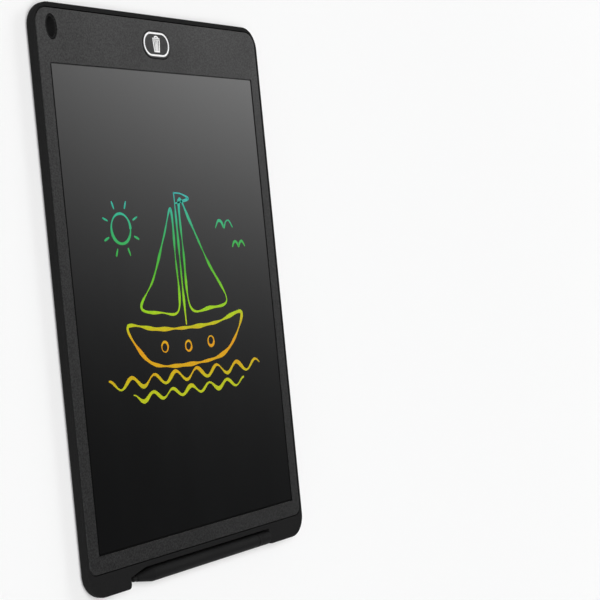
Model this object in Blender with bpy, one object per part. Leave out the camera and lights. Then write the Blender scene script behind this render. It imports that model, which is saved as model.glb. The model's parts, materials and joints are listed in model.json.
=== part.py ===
"""LCD writing tablet: slim housing, framed writing film, erase button, lock, coin cell tray and stylus.

Sizes are in metres. X runs across the tablet, Y up its height and Z out of the writing face.
The back rests on the plane z = 0, and the origin is under the tablet's middle.
"""

import math

import bmesh
import bpy
from mathutils import Vector

# Clearances and roundness
SEAT_GAP = 0.0002
RUNNING_GAP = 0.0003
CUT_OVERRUN = 0.001
CORNER_STEPS = 10
EDGE_STEPS = 6
ROUND_STEPS = 32
SMALL_ROUND_STEPS = 20
SHARP_ANGLE = math.radians(35)

# Screen and what frames it
SCREEN_WIDTH = 0.169
SCREEN_HEIGHT = 0.2361
SCREEN_OFFSET = 0.0005
SCREEN_CORNER_RADIUS = 0.0008
BEZEL_SIDE = 0.0071
BEZEL_BOTTOM = 0.00825
RIM_SIDE = 0.0019
RIM_TOP = 0.0028
BOTTOM_BAND = 0.0115
LIP_WIDTH = 0.0026
LIP_THICKNESS = 0.0005
FILM_HEADROOM = 0.00115

# Coin cell and its tray, which set the depth of the top band
CELL_DIAMETER = 0.020
CELL_THICKNESS = 0.0016
CELL_STEP = 0.0004
TRAY_FACE_INSET = 0.0005
TRAY_FACE_THICKNESS = 0.0018
TRAY_END = 0.0012
TRAY_WALL = 0.0016
TRAY_FLOOR = 0.00035
TRAY_OFFSET = 0.037
TRAY_SLOT_HALF = 0.005
TRAY_SLOT_REACH = 0.006
NAIL_GROOVE_LENGTH = 0.008
NAIL_GROOVE_RADIUS = 0.0006
GUIDE_LENGTH = 0.004
GUIDE_WALL = 0.0012
CONTACT_THICKNESS = 0.0002
CONTACT_WIDTH = 0.003
CONTACT_PAD = 0.0035
CONTACT_RISE = 0.0016
NEGATIVE_BELOW_CENTRE = 0.0041

# Housing
BACK_WALL = 0.0012
POCKET_DEPTH = 0.001
BACK_RIM = 0.005
TOP_CORNER_RADIUS = 0.012
BOTTOM_CORNER_RADIUS = 0.0115
BACK_EDGE_RADIUS = 0.0036
FRONT_EDGE_RADIUS = 0.0004
CAVITY_CORNER_RADIUS = 0.004
LEDGE_WIDTH = 0.0018
RIB_OFFSET = 0.062
RIB_WALL = 0.0012
GATE_MARK_RADIUS = 0.0013
GATE_MARK_DEPTH = 0.0002
GATE_MARK_HEIGHT = 0.020

# Face plate and the tape that holds it
PLATE_THICKNESS = 0.00125
PLATE_GAP = 0.00045
PLATE_TOP_RADIUS = 0.008
PLATE_BOTTOM_RADIUS = 0.005
PLATE_EDGE_RADIUS = 0.0003
BEZEL_TAPE_THICKNESS = 0.00015
BEZEL_TAPE_INSET = 0.0003
BEZEL_TAPE_SETBACK = 0.0005

# Film stack
WRITING_FILM_THICKNESS = 0.0003
WINDOW_GAP = 0.00035
WINDOW_SETBACK = 0.00015
CRYSTAL_FILM_THICKNESS = 0.00025
BACKING_FILM_THICKNESS = 0.00025
FILM_CORNER_RADIUS = 0.001
TAPE_FRAME_WIDTH = 0.005

# Erase button
CAP_LENGTH = 0.023
CAP_OFFSET = 0.0008
CAP_HEIGHT = 0.0139
CAP_FROM_TOP = 0.0154
CAP_PROUD = 0.0003
CAP_EDGE_RADIUS = 0.0003
CAP_GAP = 0.0003
FLANGE_OVERHANG = 0.001
FLANGE_THICKNESS = 0.0005
NUB_RADIUS = 0.0013
DOME_FROM_CAP_END = 0.005
DOME_RADIUS = 0.003
DOME_HEIGHT = 0.00045
DOME_WALL = 0.00012

# Circuit board
BOARD_THICKNESS = 0.0008
STANDOFF_HEIGHT = 0.0006
STANDOFF_RADIUS = 0.0022
PILOT_RADIUS = 0.00095
PILOT_SKIN = 0.0006
SCREW_SHANK_RADIUS = 0.00075
SCREW_HEAD_RADIUS = 0.0016
SCREW_HEAD_THICKNESS = 0.0007
SCREW_HOLE_RADIUS = 0.001
SCREW_INSET = 0.0026
SCREW_RECESS_WIDTH = 0.0004
SCREW_RECESS_LENGTH = 0.0018
SCREW_RECESS_DEPTH = 0.0003
BOARD_TO_GUIDE = 0.0036
BOARD_CORNER_RADIUS = 0.0008
COMPONENT_GAP = 0.0015

# Parts on the board
CHIP_LENGTH = 0.0049
CHIP_WIDTH = 0.0039
CHIP_HEIGHT = 0.0011
CHIP_EDGE = 0.0002
CHIP_LEAD_REACH = 0.001
CHIP_LEAD_WIDTH = 0.0004
CHIP_LEAD_PITCH = 0.00127
CHIP_LEAD_THICKNESS = 0.0002
CHIP_LEADS_A_SIDE = 4
INDUCTOR_SIZE = 0.004
INDUCTOR_HEIGHT = 0.0013
INDUCTOR_CORNER = 0.0008
INDUCTOR_WAIST = 0.0004
CAPACITOR_LENGTH = 0.0032
CAPACITOR_WIDTH = 0.0016
CAPACITOR_HEIGHT = 0.001
DIODE_LENGTH = 0.0027
DIODE_WIDTH = 0.0016
DIODE_HEIGHT = 0.0011
RESISTOR_LENGTH = 0.002
RESISTOR_WIDTH = 0.00125
RESISTOR_HEIGHT = 0.0005
CHIP_ROW_INSET = 0.0045
TERMINAL_STEP = 0.00005

# Tail from the crystal film to the board
TAIL_WIDTH = 0.008
TAIL_THICKNESS = 0.00015
TAIL_SLACK = 0.0012
TAIL_ENTRY = 0.0011
CONNECTOR_SIDE = 0.001
CONNECTOR_DEPTH = 0.003
CONNECTOR_HEIGHT = 0.0009
CONNECTOR_INSET = 0.0016
CONNECTOR_LIP = 0.00025

# Lock on the back
LOCK_OFFSET = -0.0027
LOCK_FROM_TOP = 0.0151
LOCK_RECESS_LENGTH = 0.0112
LOCK_RECESS_HEIGHT = 0.0058
LOCK_RECESS_DEPTH = 0.0005
LOCK_SLOT_SHIFT = 0.0013
KNOB_LENGTH = 0.0051
KNOB_HEIGHT = 0.0041
KNOB_SETBACK = 0.0001
KNOB_FLANGE_OVERHANG = 0.0009
KNOB_FLANGE_THICKNESS = 0.0003
KNOB_GAP = 0.00015
KNOB_GRIP_PITCH = 0.0009
KNOB_GRIP_DEPTH = 0.00015
KNOB_GRIPS = 3
LOCK_TRAVEL = 0.0015
LEVER_LENGTH = 0.0014
LEVER_WIDTH = 0.0009
LEVER_SOCKET_GAP = 0.0001
LEVER_SOCKET_FLOOR = 0.0008
LEVER_RISE = 0.0006
SWITCH_LENGTH = 0.0067
SWITCH_WIDTH = 0.0027
SWITCH_HEIGHT = 0.0013
SWITCH_SLOT_DEPTH = 0.0008
SWITCH_EAR_REACH = 0.0008
SWITCH_EAR_THICKNESS = 0.0002

# Lanyard hole
LANYARD_FROM_SIDE = 0.0129
LANYARD_FROM_TOP = 0.0119
LANYARD_WIDTH = 0.0083
LANYARD_HEIGHT = 0.0125
LANYARD_SLEEVE_WALL = 0.0015
LANYARD_COLLAR_GAP = 0.0005
LANYARD_COLLAR_WALL = 0.0007
LANYARD_COLLAR_SETBACK = 0.0004

# Stylus and the notch that holds it
STYLUS_DIAMETER = 0.0073
STYLUS_LENGTH = 0.1174
STYLUS_LIFT = 0.00005
STYLUS_INSET = 0.0001
STYLUS_NOSE_RADIUS = 0.0016
STYLUS_CONE_LENGTH = 0.0145
STYLUS_EDGE_RADIUS = 0.0005
STYLUS_BORE_RADIUS = 0.0024
STYLUS_GROOVE_FROM_JOINT = 0.0034
STYLUS_GROOVE_WIDTH = 0.0005
STYLUS_GROOVE_DEPTH = 0.0003
NIB_LENGTH = 0.0028
NIB_RADIUS = 0.0013
NIB_EDGE_RADIUS = 0.0011
NIB_STEM_RADIUS = 0.0008
NIB_STEM_LENGTH = 0.006
END_CAP_LENGTH = 0.0077
END_CAP_SPIGOT_LENGTH = 0.006
NOTCH_OFFSET = -0.0012
NOTCH_HEADROOM = 0.00105
NOTCH_END_GAP = 0.0004
NOTCH_NAIL_GAP = 0.0032
NOTCH_SIDE_HEIGHT = 0.0056
NOTCH_CHAMFER_LENGTH = 0.0117
NOTCH_LEFT_MOUTH_RADIUS = 0.0022
NOTCH_RIGHT_MOUTH_RADIUS = 0.0022
NOTCH_BACK_FLARE = 0.0005
NOTCH_FRONT_FLARE = 0.0002
NOTCH_BORDER = 0.0027
NOTCH_RAIL_WIDTH = 0.0018
NOTCH_RAIL_THICKNESS = 0.0006
NOTCH_RAIL_SLOPE = 0.0018
NOTCH_RAIL_SIDE_HEIGHT = 0.0028
NOTCH_RAIL_CHAMFER_LENGTH = 0.0212

# Soft step round the back panel: inward shift as a share of the edge, and depth as a share of the pocket
POCKET_EDGE = 0.0005
POCKET_EDGE_SHARES = ((-1.0, 0.0), (-0.35, 0.1), (0.0, 0.35), (0.15, 0.7), (0.45, 0.92), (1.0, 1.0))

# Heights worked out from the stack in the top band, which sets the housing's thickness
NEGATIVE_LOW = BACK_WALL + SEAT_GAP
TRAY_LOW_Z = NEGATIVE_LOW + CONTACT_THICKNESS + RUNNING_GAP
CELL_LOW = TRAY_LOW_Z + TRAY_FLOOR + SEAT_GAP
CELL_HIGH = CELL_LOW + CELL_THICKNESS
POSITIVE_LOW = CELL_HIGH + RUNNING_GAP
PLATE_LOW = POSITIVE_LOW + CONTACT_THICKNESS + SEAT_GAP
FACE = PLATE_LOW + PLATE_THICKNESS
LEDGE = PLATE_LOW - SEAT_GAP - BEZEL_TAPE_THICKNESS - SEAT_GAP
SCREEN_FLOOR = POCKET_DEPTH + BACK_WALL
BOARD_LOW = BACK_WALL + STANDOFF_HEIGHT + SEAT_GAP
BOARD_HIGH = BOARD_LOW + BOARD_THICKNESS
PART_LOW = BOARD_HIGH + SEAT_GAP
FLANGE_HIGH = PLATE_LOW - SEAT_GAP
FLANGE_LOW = FLANGE_HIGH - FLANGE_THICKNESS

# Outline worked out from the screen and the top band
TOP_BAND = (TRAY_FACE_INSET + TRAY_FACE_THICKNESS + SEAT_GAP + CELL_DIAMETER + SEAT_GAP
            + TRAY_END + RUNNING_GAP + BACK_WALL)
HOUSING_WIDTH = SCREEN_WIDTH + 2 * (BEZEL_SIDE + RIM_SIDE)
HOUSING_HEIGHT = BOTTOM_BAND + BEZEL_BOTTOM + SCREEN_HEIGHT + LIP_WIDTH + FILM_HEADROOM + TOP_BAND
SIDE = HOUSING_WIDTH / 2
TOP = HOUSING_HEIGHT / 2
BOTTOM = -TOP
STEP_OUTER = TOP - TOP_BAND
STEP_INNER = STEP_OUTER + BACK_WALL
PLATE_SIDE = SIDE - RIM_SIDE
PLATE_TOP = TOP - RIM_TOP
PLATE_BOTTOM = BOTTOM + BOTTOM_BAND
SCREEN_LEFT = SCREEN_OFFSET - SCREEN_WIDTH / 2
SCREEN_RIGHT = SCREEN_OFFSET + SCREEN_WIDTH / 2
SCREEN_BOTTOM = PLATE_BOTTOM + BEZEL_BOTTOM
SCREEN_TOP = SCREEN_BOTTOM + SCREEN_HEIGHT
FILM_LEFT = SCREEN_LEFT - LIP_WIDTH
FILM_RIGHT = SCREEN_RIGHT + LIP_WIDTH
FILM_BOTTOM = SCREEN_BOTTOM - LIP_WIDTH
FILM_TOP = SCREEN_TOP + LIP_WIDTH
CAVITY_SIDE = SIDE - BACK_RIM
CAVITY_TOP = PLATE_TOP - LEDGE_WIDTH
CAVITY_BOTTOM = PLATE_BOTTOM + LEDGE_WIDTH

# Places in the top band
CELL_RADIUS = CELL_DIAMETER / 2
CELL_Y = TOP - TRAY_FACE_INSET - TRAY_FACE_THICKNESS - SEAT_GAP - CELL_RADIUS
TRAY_HALF = CELL_RADIUS + SEAT_GAP + TRAY_WALL
TRAY_BOTTOM = STEP_INNER + RUNNING_GAP
BAY_LEFT = TRAY_OFFSET - TRAY_HALF - RUNNING_GAP
BAY_RIGHT = TRAY_OFFSET + TRAY_HALF + RUNNING_GAP
CAP_Y = TOP - CAP_FROM_TOP
DOME_X = CAP_OFFSET + CAP_LENGTH / 2 - DOME_FROM_CAP_END
FLANGE_SIDE = CAP_LENGTH / 2 + FLANGE_OVERHANG
CHIP_SPAN = CHIP_LENGTH + 2 * CHIP_EDGE
CHIP_X = CAP_OFFSET - FLANGE_SIDE - COMPONENT_GAP - CHIP_SPAN / 2
INDUCTOR_X = CHIP_X - CHIP_SPAN / 2 - COMPONENT_GAP - INDUCTOR_SIZE / 2
CAPACITOR_X = INDUCTOR_X - INDUCTOR_SIZE / 2 - COMPONENT_GAP - CAPACITOR_LENGTH / 2
CONNECTOR_LENGTH = TAIL_WIDTH + 2 * CONNECTOR_SIDE
CONNECTOR_X = CAP_OFFSET - FLANGE_SIDE - COMPONENT_GAP - CONNECTOR_LENGTH / 2
BOARD_LEFT = CAPACITOR_X - CAPACITOR_LENGTH / 2 - COMPONENT_GAP - 2 * SCREW_INSET
BOARD_RIGHT = BAY_LEFT - GUIDE_WALL - BOARD_TO_GUIDE
BOARD_TOP = CAVITY_TOP - RUNNING_GAP
BOARD_BOTTOM = STEP_INNER + COMPONENT_GAP / 2
CHIP_ROW = BOARD_TOP - CHIP_ROW_INSET
CONNECTOR_LOW_Y = BOARD_BOTTOM + CONNECTOR_INSET
SCREW_PLACES = {
    "left_top": (BOARD_LEFT + SCREW_INSET, BOARD_TOP - SCREW_INSET),
    "left_bottom": (BOARD_LEFT + SCREW_INSET, BOARD_BOTTOM + SCREW_INSET),
    "right_top": (BOARD_RIGHT - SCREW_INSET, BOARD_TOP - SCREW_INSET),
}
LOCK_Y = TOP - LOCK_FROM_TOP
LOCK_SLOT_X = LOCK_OFFSET + LOCK_SLOT_SHIFT
KNOB_X = LOCK_SLOT_X - LOCK_TRAVEL / 2
SLIDER_LOW = BACK_WALL + SEAT_GAP
SLIDER_HIGH = SLIDER_LOW + KNOB_FLANGE_THICKNESS
SWITCH_LOW = SLIDER_HIGH + SEAT_GAP
SWITCH_HIGH = SWITCH_LOW + SWITCH_HEIGHT
LANYARD_X = -SIDE + LANYARD_FROM_SIDE
LANYARD_Y = TOP - LANYARD_FROM_TOP

# Places of the stylus and its notch
STYLUS_RADIUS = STYLUS_DIAMETER / 2
STYLUS_Y = BOTTOM + STYLUS_INSET + STYLUS_RADIUS
STYLUS_Z = STYLUS_LIFT + STYLUS_RADIUS
NOTCH_LENGTH = NOTCH_NAIL_GAP + STYLUS_LENGTH + NOTCH_END_GAP
NOTCH_LEFT = NOTCH_OFFSET - NOTCH_LENGTH / 2
NOTCH_RIGHT = NOTCH_LEFT + NOTCH_LENGTH
NOTCH_TOP = STYLUS_Y + STYLUS_RADIUS + NOTCH_HEADROOM
STYLUS_TIP_X = NOTCH_LEFT + NOTCH_NAIL_GAP
STYLUS_END_X = STYLUS_TIP_X + STYLUS_LENGTH
STYLUS_JOINT_X = STYLUS_END_X - END_CAP_LENGTH

# Colours as linear red, green and blue, with roughness and metallic value
BLACK_PLASTIC = ((0.0148, 0.0148, 0.0150), 0.50, 0.0)
GREY_PLASTIC = ((0.0400, 0.0400, 0.0405), 0.60, 0.0)
CHARCOAL_PLASTIC = ((0.0330, 0.0330, 0.0335), 0.55, 0.0)
FILM_BLACK = ((0.0070, 0.0072, 0.0078), 0.12, 0.0)
CRYSTAL_GREEN = ((0.0200, 0.0450, 0.0350), 0.20, 0.0)
ABSORBER_BLACK = ((0.0040, 0.0040, 0.0040), 0.80, 0.0)
FOAM_WHITE = ((0.7500, 0.7500, 0.7300), 0.85, 0.0)
TAPE_BLACK = ((0.0200, 0.0200, 0.0200), 0.70, 0.0)
BOARD_GREEN = ((0.0100, 0.1000, 0.0300), 0.45, 0.0)
CHIP_BLACK = ((0.0120, 0.0120, 0.0130), 0.55, 0.0)
FERRITE_GREY = ((0.0600, 0.0600, 0.0620), 0.60, 0.0)
CERAMIC_TAN = ((0.4200, 0.2800, 0.1600), 0.50, 0.0)
STEEL = ((0.5600, 0.5700, 0.5800), 0.30, 1.0)
NICKEL = ((0.6600, 0.6300, 0.5700), 0.28, 1.0)
AMBER_FILM = ((0.4500, 0.1800, 0.0300), 0.35, 0.0)
IVORY_PLASTIC = ((0.7000, 0.6400, 0.5000), 0.45, 0.0)
NIB_GREY = ((0.0550, 0.0550, 0.0560), 0.40, 0.0)


def clear_scene():
    """Removes every object that is already in the file."""
    for item in list(bpy.data.objects):
        bpy.data.objects.remove(item, do_unlink=True)


def arc(centre_x, centre_y, radius, start, end, steps):
    """Points along a circular arc, both ends included, with the angles in degrees."""
    points = []
    for step in range(steps + 1):
        angle = math.radians(start + (end - start) * step / steps)
        points.append((centre_x + radius * math.cos(angle), centre_y + radius * math.sin(angle)))
    return points


def circle(centre_x, centre_y, radius, steps):
    """Points round a full circle, without a repeated end."""
    return arc(centre_x, centre_y, radius, 0, 360, steps)[:-1]


def rounded_box(left, bottom, right, top, radii, steps=CORNER_STEPS):
    """Rectangle with its own radius at bottom left, bottom right, top right and top left, in that order."""
    corners = (
        (left, bottom, 1, 1, 180),
        (right, bottom, -1, 1, 270),
        (right, top, -1, -1, 0),
        (left, top, 1, -1, 90),
    )
    points = []
    for (corner_x, corner_y, inward_x, inward_y, start), radius in zip(corners, radii):
        if radius == 0:
            points.append((corner_x, corner_y))
        else:
            centre_x = corner_x + inward_x * radius
            centre_y = corner_y + inward_y * radius
            points += arc(centre_x, centre_y, radius, start, start + 90, steps)
    return points


def stadium(centre_x, centre_y, length, height):
    """Slot outline whose two shorter sides are half circles."""
    half_x = length / 2
    half_y = height / 2
    radius = min(half_x, half_y)
    left = centre_x - half_x
    right = centre_x + half_x
    return rounded_box(left, centre_y - half_y, right, centre_y + half_y, (radius,) * 4)


def lanyard_oval(grow):
    """Outline of the face plate's lanyard hole, grown all round."""
    half_x = LANYARD_WIDTH / 2 + grow
    half_y = LANYARD_HEIGHT / 2 + grow
    return [(LANYARD_X + half_x * x, LANYARD_Y + half_y * y) for x, y in circle(0, 0, 1, ROUND_STEPS)]


def ring(outline, height):
    """Flat outline lifted to one height."""
    return [Vector((x, y, height)) for x, y in outline]


def loft(name, rings, closed=False):
    """Solid skinned through rings of equal count, capped at its ends or closed on itself."""
    mesh = bpy.data.meshes.new(name)
    build = bmesh.new()
    rows = [[build.verts.new(point) for point in points] for points in rings]
    count = len(rings[0])
    pairs = list(zip(rows, rows[1:]))
    if closed:
        pairs.append((rows[-1], rows[0]))
    for lower, upper in pairs:
        for index in range(count):
            following = (index + 1) % count
            build.faces.new((lower[index], lower[following], upper[following], upper[index]))
    if not closed:
        build.faces.new(list(reversed(rows[0])))
        build.faces.new(rows[-1])
    bmesh.ops.recalc_face_normals(build, faces=build.faces)
    build.to_mesh(mesh)
    build.free()
    solid = bpy.data.objects.new(name, mesh)
    bpy.context.scene.collection.objects.link(solid)
    return solid


def prism(name, outline, low, high):
    """Flat outline raised from one height to another."""
    return loft(name, [ring(outline, low), ring(outline, high)])


def block(name, left, bottom, low, right, top, high):
    """Plain box between two corners, for cutters and square details."""
    return prism(name, rounded_box(left, bottom, right, top, (0, 0, 0, 0)), low, high)


def frame_solid(name, outer, inner, low, high):
    """Flat frame between two outlines of equal count."""
    return loft(name, [ring(outer, low), ring(outer, high), ring(inner, high), ring(inner, low)], closed=True)


def swept_x(name, profile, start, end):
    """Profile of (y, z) points carried along X."""
    return loft(name, [[Vector((x, y, z)) for y, z in profile] for x in (start, end)])


def swept_y(name, profile, start, end):
    """Profile of (x, z) points carried along Y."""
    return loft(name, [[Vector((x, y, z)) for x, z in profile] for y in (start, end)])


def turned_x(name, profile, centre_y, centre_z, closed=False):
    """Profile of (x, radius) points turned about a line along X."""
    rings = []
    for along, radius in profile:
        points = circle(centre_y, centre_z, radius, ROUND_STEPS)
        rings.append([Vector((along, y, z)) for y, z in points])
    return loft(name, rings, closed)


def turned_z(name, profile, centre_x, centre_y, closed=False, steps=ROUND_STEPS):
    """Profile of (z, radius) points turned about a line along Z."""
    rings = [ring(circle(centre_x, centre_y, radius, steps), height) for height, radius in profile]
    return loft(name, rings, closed)


def thickened(path, thickness):
    """Outline of a bent sheet whose middle follows a path of two-dimensional points."""
    points = [Vector(point) for point in path]
    sides = ([], [])
    for index, point in enumerate(points):
        before = (point - points[index - 1]).normalized() if index else None
        after = (points[index + 1] - point).normalized() if index < len(points) - 1 else None
        if before is None:
            before = after
        if after is None:
            after = before
        normal_before = Vector((-before.y, before.x))
        normal_after = Vector((-after.y, after.x))
        mitre = (normal_before + normal_after).normalized()
        reach = thickness / 2 / mitre.dot(normal_before)
        sides[0].append(point + mitre * reach)
        sides[1].append(point - mitre * reach)
    return [tuple(point) for point in sides[0] + sides[1][::-1]]


def combine(body, tool, operation):
    """Cuts or joins a solid with a tool solid, then removes the tool."""
    modifier = body.modifiers.new("combine", "BOOLEAN")
    modifier.operation = operation
    modifier.solver = "EXACT"
    modifier.object = tool
    graph = bpy.context.evaluated_depsgraph_get()
    mesh = bpy.data.meshes.new_from_object(body.evaluated_get(graph))
    body.modifiers.clear()
    body.data = mesh
    bpy.data.objects.remove(tool, do_unlink=True)


def cut(body, *tools):
    """Removes each tool's space from a solid."""
    for tool in tools:
        combine(body, tool, "DIFFERENCE")


def join(body, *tools):
    """Adds each tool to a solid as one body."""
    for tool in tools:
        combine(body, tool, "UNION")


def dress(solid, finish):
    """Gives a solid its own material, and smooth shading between its sharp edges."""
    colour, roughness, metallic = finish
    material = bpy.data.materials.new(solid.name)
    material.use_nodes = True
    shader = material.node_tree.nodes["Principled BSDF"]
    shader.inputs["Base Color"].default_value = (*colour, 1)
    shader.inputs["Roughness"].default_value = roughness
    shader.inputs["Metallic"].default_value = metallic
    material.diffuse_color = (*colour, 1)
    solid.data.materials.clear()
    solid.data.materials.append(material)
    solid.data.shade_smooth()
    solid.data.set_sharp_from_angle(angle=SHARP_ANGLE)


def hang_on_axis(name, place, solids):
    """Parents solids to an empty on their joint's axis, without moving them."""
    empty = bpy.data.objects.new(name, None)
    empty.location = place
    bpy.context.scene.collection.objects.link(empty)
    for solid in solids:
        for vertex in solid.data.vertices:
            vertex.co -= empty.location
        solid.parent = empty


def housing_outline(inset):
    """Tablet outline moved inward by an inset."""
    bottom_radius = BOTTOM_CORNER_RADIUS - inset
    top_radius = TOP_CORNER_RADIUS - inset
    radii = (bottom_radius, bottom_radius, top_radius, top_radius)
    return rounded_box(-SIDE + inset, BOTTOM + inset, SIDE - inset, TOP - inset, radii)


def plate_outline(grow):
    """Face plate outline moved outward by a distance, or inward where it is negative."""
    bottom_radius = PLATE_BOTTOM_RADIUS + grow
    top_radius = PLATE_TOP_RADIUS + grow
    radii = (bottom_radius, bottom_radius, top_radius, top_radius)
    return rounded_box(-PLATE_SIDE - grow, PLATE_BOTTOM - grow, PLATE_SIDE + grow, PLATE_TOP + grow, radii)


def screen_outline(grow, radius=SCREEN_CORNER_RADIUS):
    """Window outline moved outward by a distance, or inward where it is negative."""
    left = SCREEN_LEFT - grow
    right = SCREEN_RIGHT + grow
    return rounded_box(left, SCREEN_BOTTOM - grow, right, SCREEN_TOP + grow, (radius,) * 4, EDGE_STEPS)


def film_outline(inset):
    """Outline shared by the films, moved inward by an inset."""
    left = FILM_LEFT + inset
    right = FILM_RIGHT - inset
    low = FILM_BOTTOM + inset
    high = FILM_TOP - inset
    return rounded_box(left, low, right, high, (FILM_CORNER_RADIUS,) * 4, EDGE_STEPS)


def cavity_outline(grow, radius):
    """Outline of the whole hollow inside the housing, moved outward by a distance."""
    left = -CAVITY_SIDE - grow
    right = CAVITY_SIDE + grow
    return rounded_box(left, CAVITY_BOTTOM - grow, right, CAVITY_TOP + grow, (radius,) * 4)


def pocket_outline(inset):
    """Outline of the recessed back panel, which steps round the border of the stylus notch."""
    left = -CAVITY_SIDE + inset
    right = CAVITY_SIDE - inset
    low = BOTTOM + BACK_RIM + inset
    high = STEP_OUTER - inset
    border_left = NOTCH_LEFT - NOTCH_BORDER - inset
    border_right = NOTCH_RIGHT + NOTCH_BORDER + inset
    border_top = NOTCH_TOP - NOTCH_RAIL_WIDTH + NOTCH_BORDER + inset
    shoulder_y = BOTTOM + NOTCH_RAIL_SIDE_HEIGHT + NOTCH_BORDER + inset
    shoulder_x = NOTCH_LEFT + NOTCH_CHAMFER_LENGTH - inset
    radius = BOTTOM_CORNER_RADIUS - BACK_RIM - inset
    points = arc(left + radius, low + radius, radius, 180, 270, CORNER_STEPS)
    points += [(border_left, low), (border_left, shoulder_y), (shoulder_x, border_top)]
    points += [(border_right, border_top), (border_right, low)]
    points += arc(right - radius, low + radius, radius, 270, 360, CORNER_STEPS)
    points += [(right, high), (left, high)]
    return points


def notch_outline(flare, railed):
    """Outline of the stylus notch, open at the bottom edge, widened by a flare, with or without its rail."""
    left = NOTCH_LEFT - flare
    right = NOTCH_RIGHT + flare
    low = BOTTOM - CUT_OVERRUN
    left_radius = NOTCH_LEFT_MOUTH_RADIUS
    right_radius = NOTCH_RIGHT_MOUTH_RADIUS
    if railed:
        high = NOTCH_TOP - NOTCH_RAIL_WIDTH + flare
        shoulder = (NOTCH_LEFT + NOTCH_RAIL_CHAMFER_LENGTH, high)
        side_high = BOTTOM + NOTCH_RAIL_SIDE_HEIGHT + flare
    else:
        high = NOTCH_TOP + flare
        shoulder = (NOTCH_LEFT + NOTCH_CHAMFER_LENGTH, high)
        side_high = BOTTOM + NOTCH_SIDE_HEIGHT + flare
    points = [(left - left_radius, low), (right + right_radius, low)]
    points += arc(right + right_radius, BOTTOM + right_radius, right_radius, 270, 180, EDGE_STEPS)
    points += [(right, high), shoulder, (left, side_high)]
    points += arc(left - left_radius, BOTTOM + left_radius, left_radius, 0, -90, EDGE_STEPS)
    return points


def housing_block():
    """Outer body of the housing, with its soft back edge and fine front edge."""
    rings = []
    for step in range(EDGE_STEPS + 1):
        angle = math.radians(90 * step / EDGE_STEPS)
        inset = BACK_EDGE_RADIUS * (1 - math.sin(angle))
        height = BACK_EDGE_RADIUS * (1 - math.cos(angle))
        rings.append(ring(housing_outline(inset), height))
    for angle in (0, 45, 90):
        inset = FRONT_EDGE_RADIUS * (1 - math.cos(math.radians(angle)))
        height = FACE - FRONT_EDGE_RADIUS * (1 - math.sin(math.radians(angle)))
        rings.append(ring(housing_outline(inset), height))
    return loft("rear_housing", rings)


def pocket_cutter():
    """Space of the recessed back panel, with its soft step."""
    first_share = POCKET_EDGE_SHARES[0][0]
    rings = [ring(pocket_outline(first_share * POCKET_EDGE), -CUT_OVERRUN)]
    for edge_share, depth_share in POCKET_EDGE_SHARES:
        rings.append(ring(pocket_outline(edge_share * POCKET_EDGE), depth_share * POCKET_DEPTH))
    return loft("pocket_cutter", rings)


def notch_cutter():
    """Space of the stylus notch, flared a little at both faces, with a sloped rail behind the stylus."""
    levels = (
        (NOTCH_BACK_FLARE, True, -CUT_OVERRUN),
        (NOTCH_BACK_FLARE, True, 0),
        (0, True, NOTCH_BACK_FLARE),
        (0, True, NOTCH_RAIL_THICKNESS),
        (0, False, NOTCH_RAIL_THICKNESS + NOTCH_RAIL_SLOPE),
        (0, False, FACE - NOTCH_FRONT_FLARE),
        (NOTCH_FRONT_FLARE, False, FACE),
        (NOTCH_FRONT_FLARE, False, FACE + CUT_OVERRUN),
    )
    rings = [ring(notch_outline(flare, railed), height) for flare, railed, height in levels]
    return loft("notch_cutter", rings)


def hollow_cutters():
    """Spaces inside the housing: over the back panel, in the top band and for the face plate."""
    corner = CAVITY_CORNER_RADIUS
    above = FACE + CUT_OVERRUN
    screen_top = STEP_INNER + CUT_OVERRUN
    screen = rounded_box(-CAVITY_SIDE, CAVITY_BOTTOM, CAVITY_SIDE, screen_top, (corner, corner, 0, 0))
    band = rounded_box(-CAVITY_SIDE, STEP_INNER, CAVITY_SIDE, CAVITY_TOP, (0, 0, corner, corner))
    return (
        prism("screen_hollow", screen, SCREEN_FLOOR, above),
        prism("band_hollow", band, BACK_WALL, above),
        prism("plate_seat", plate_outline(PLATE_GAP), LEDGE, above),
    )


def bay_cutter():
    """Mouth of the tray bay through the top wall, and the clear space above the tray behind it."""
    inside = CAVITY_TOP - CUT_OVERRUN
    outside = TOP + CUT_OVERRUN
    behind_rim = PLATE_TOP
    low = TRAY_LOW_Z - SEAT_GAP
    high = CELL_HIGH + SEAT_GAP
    above = FACE + CUT_OVERRUN
    profile = [(inside, low), (outside, low), (outside, high), (behind_rim, high), (behind_rim, above)]
    profile.append((inside, above))
    return swept_x("bay_cutter", profile, BAY_LEFT, BAY_RIGHT)


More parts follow.
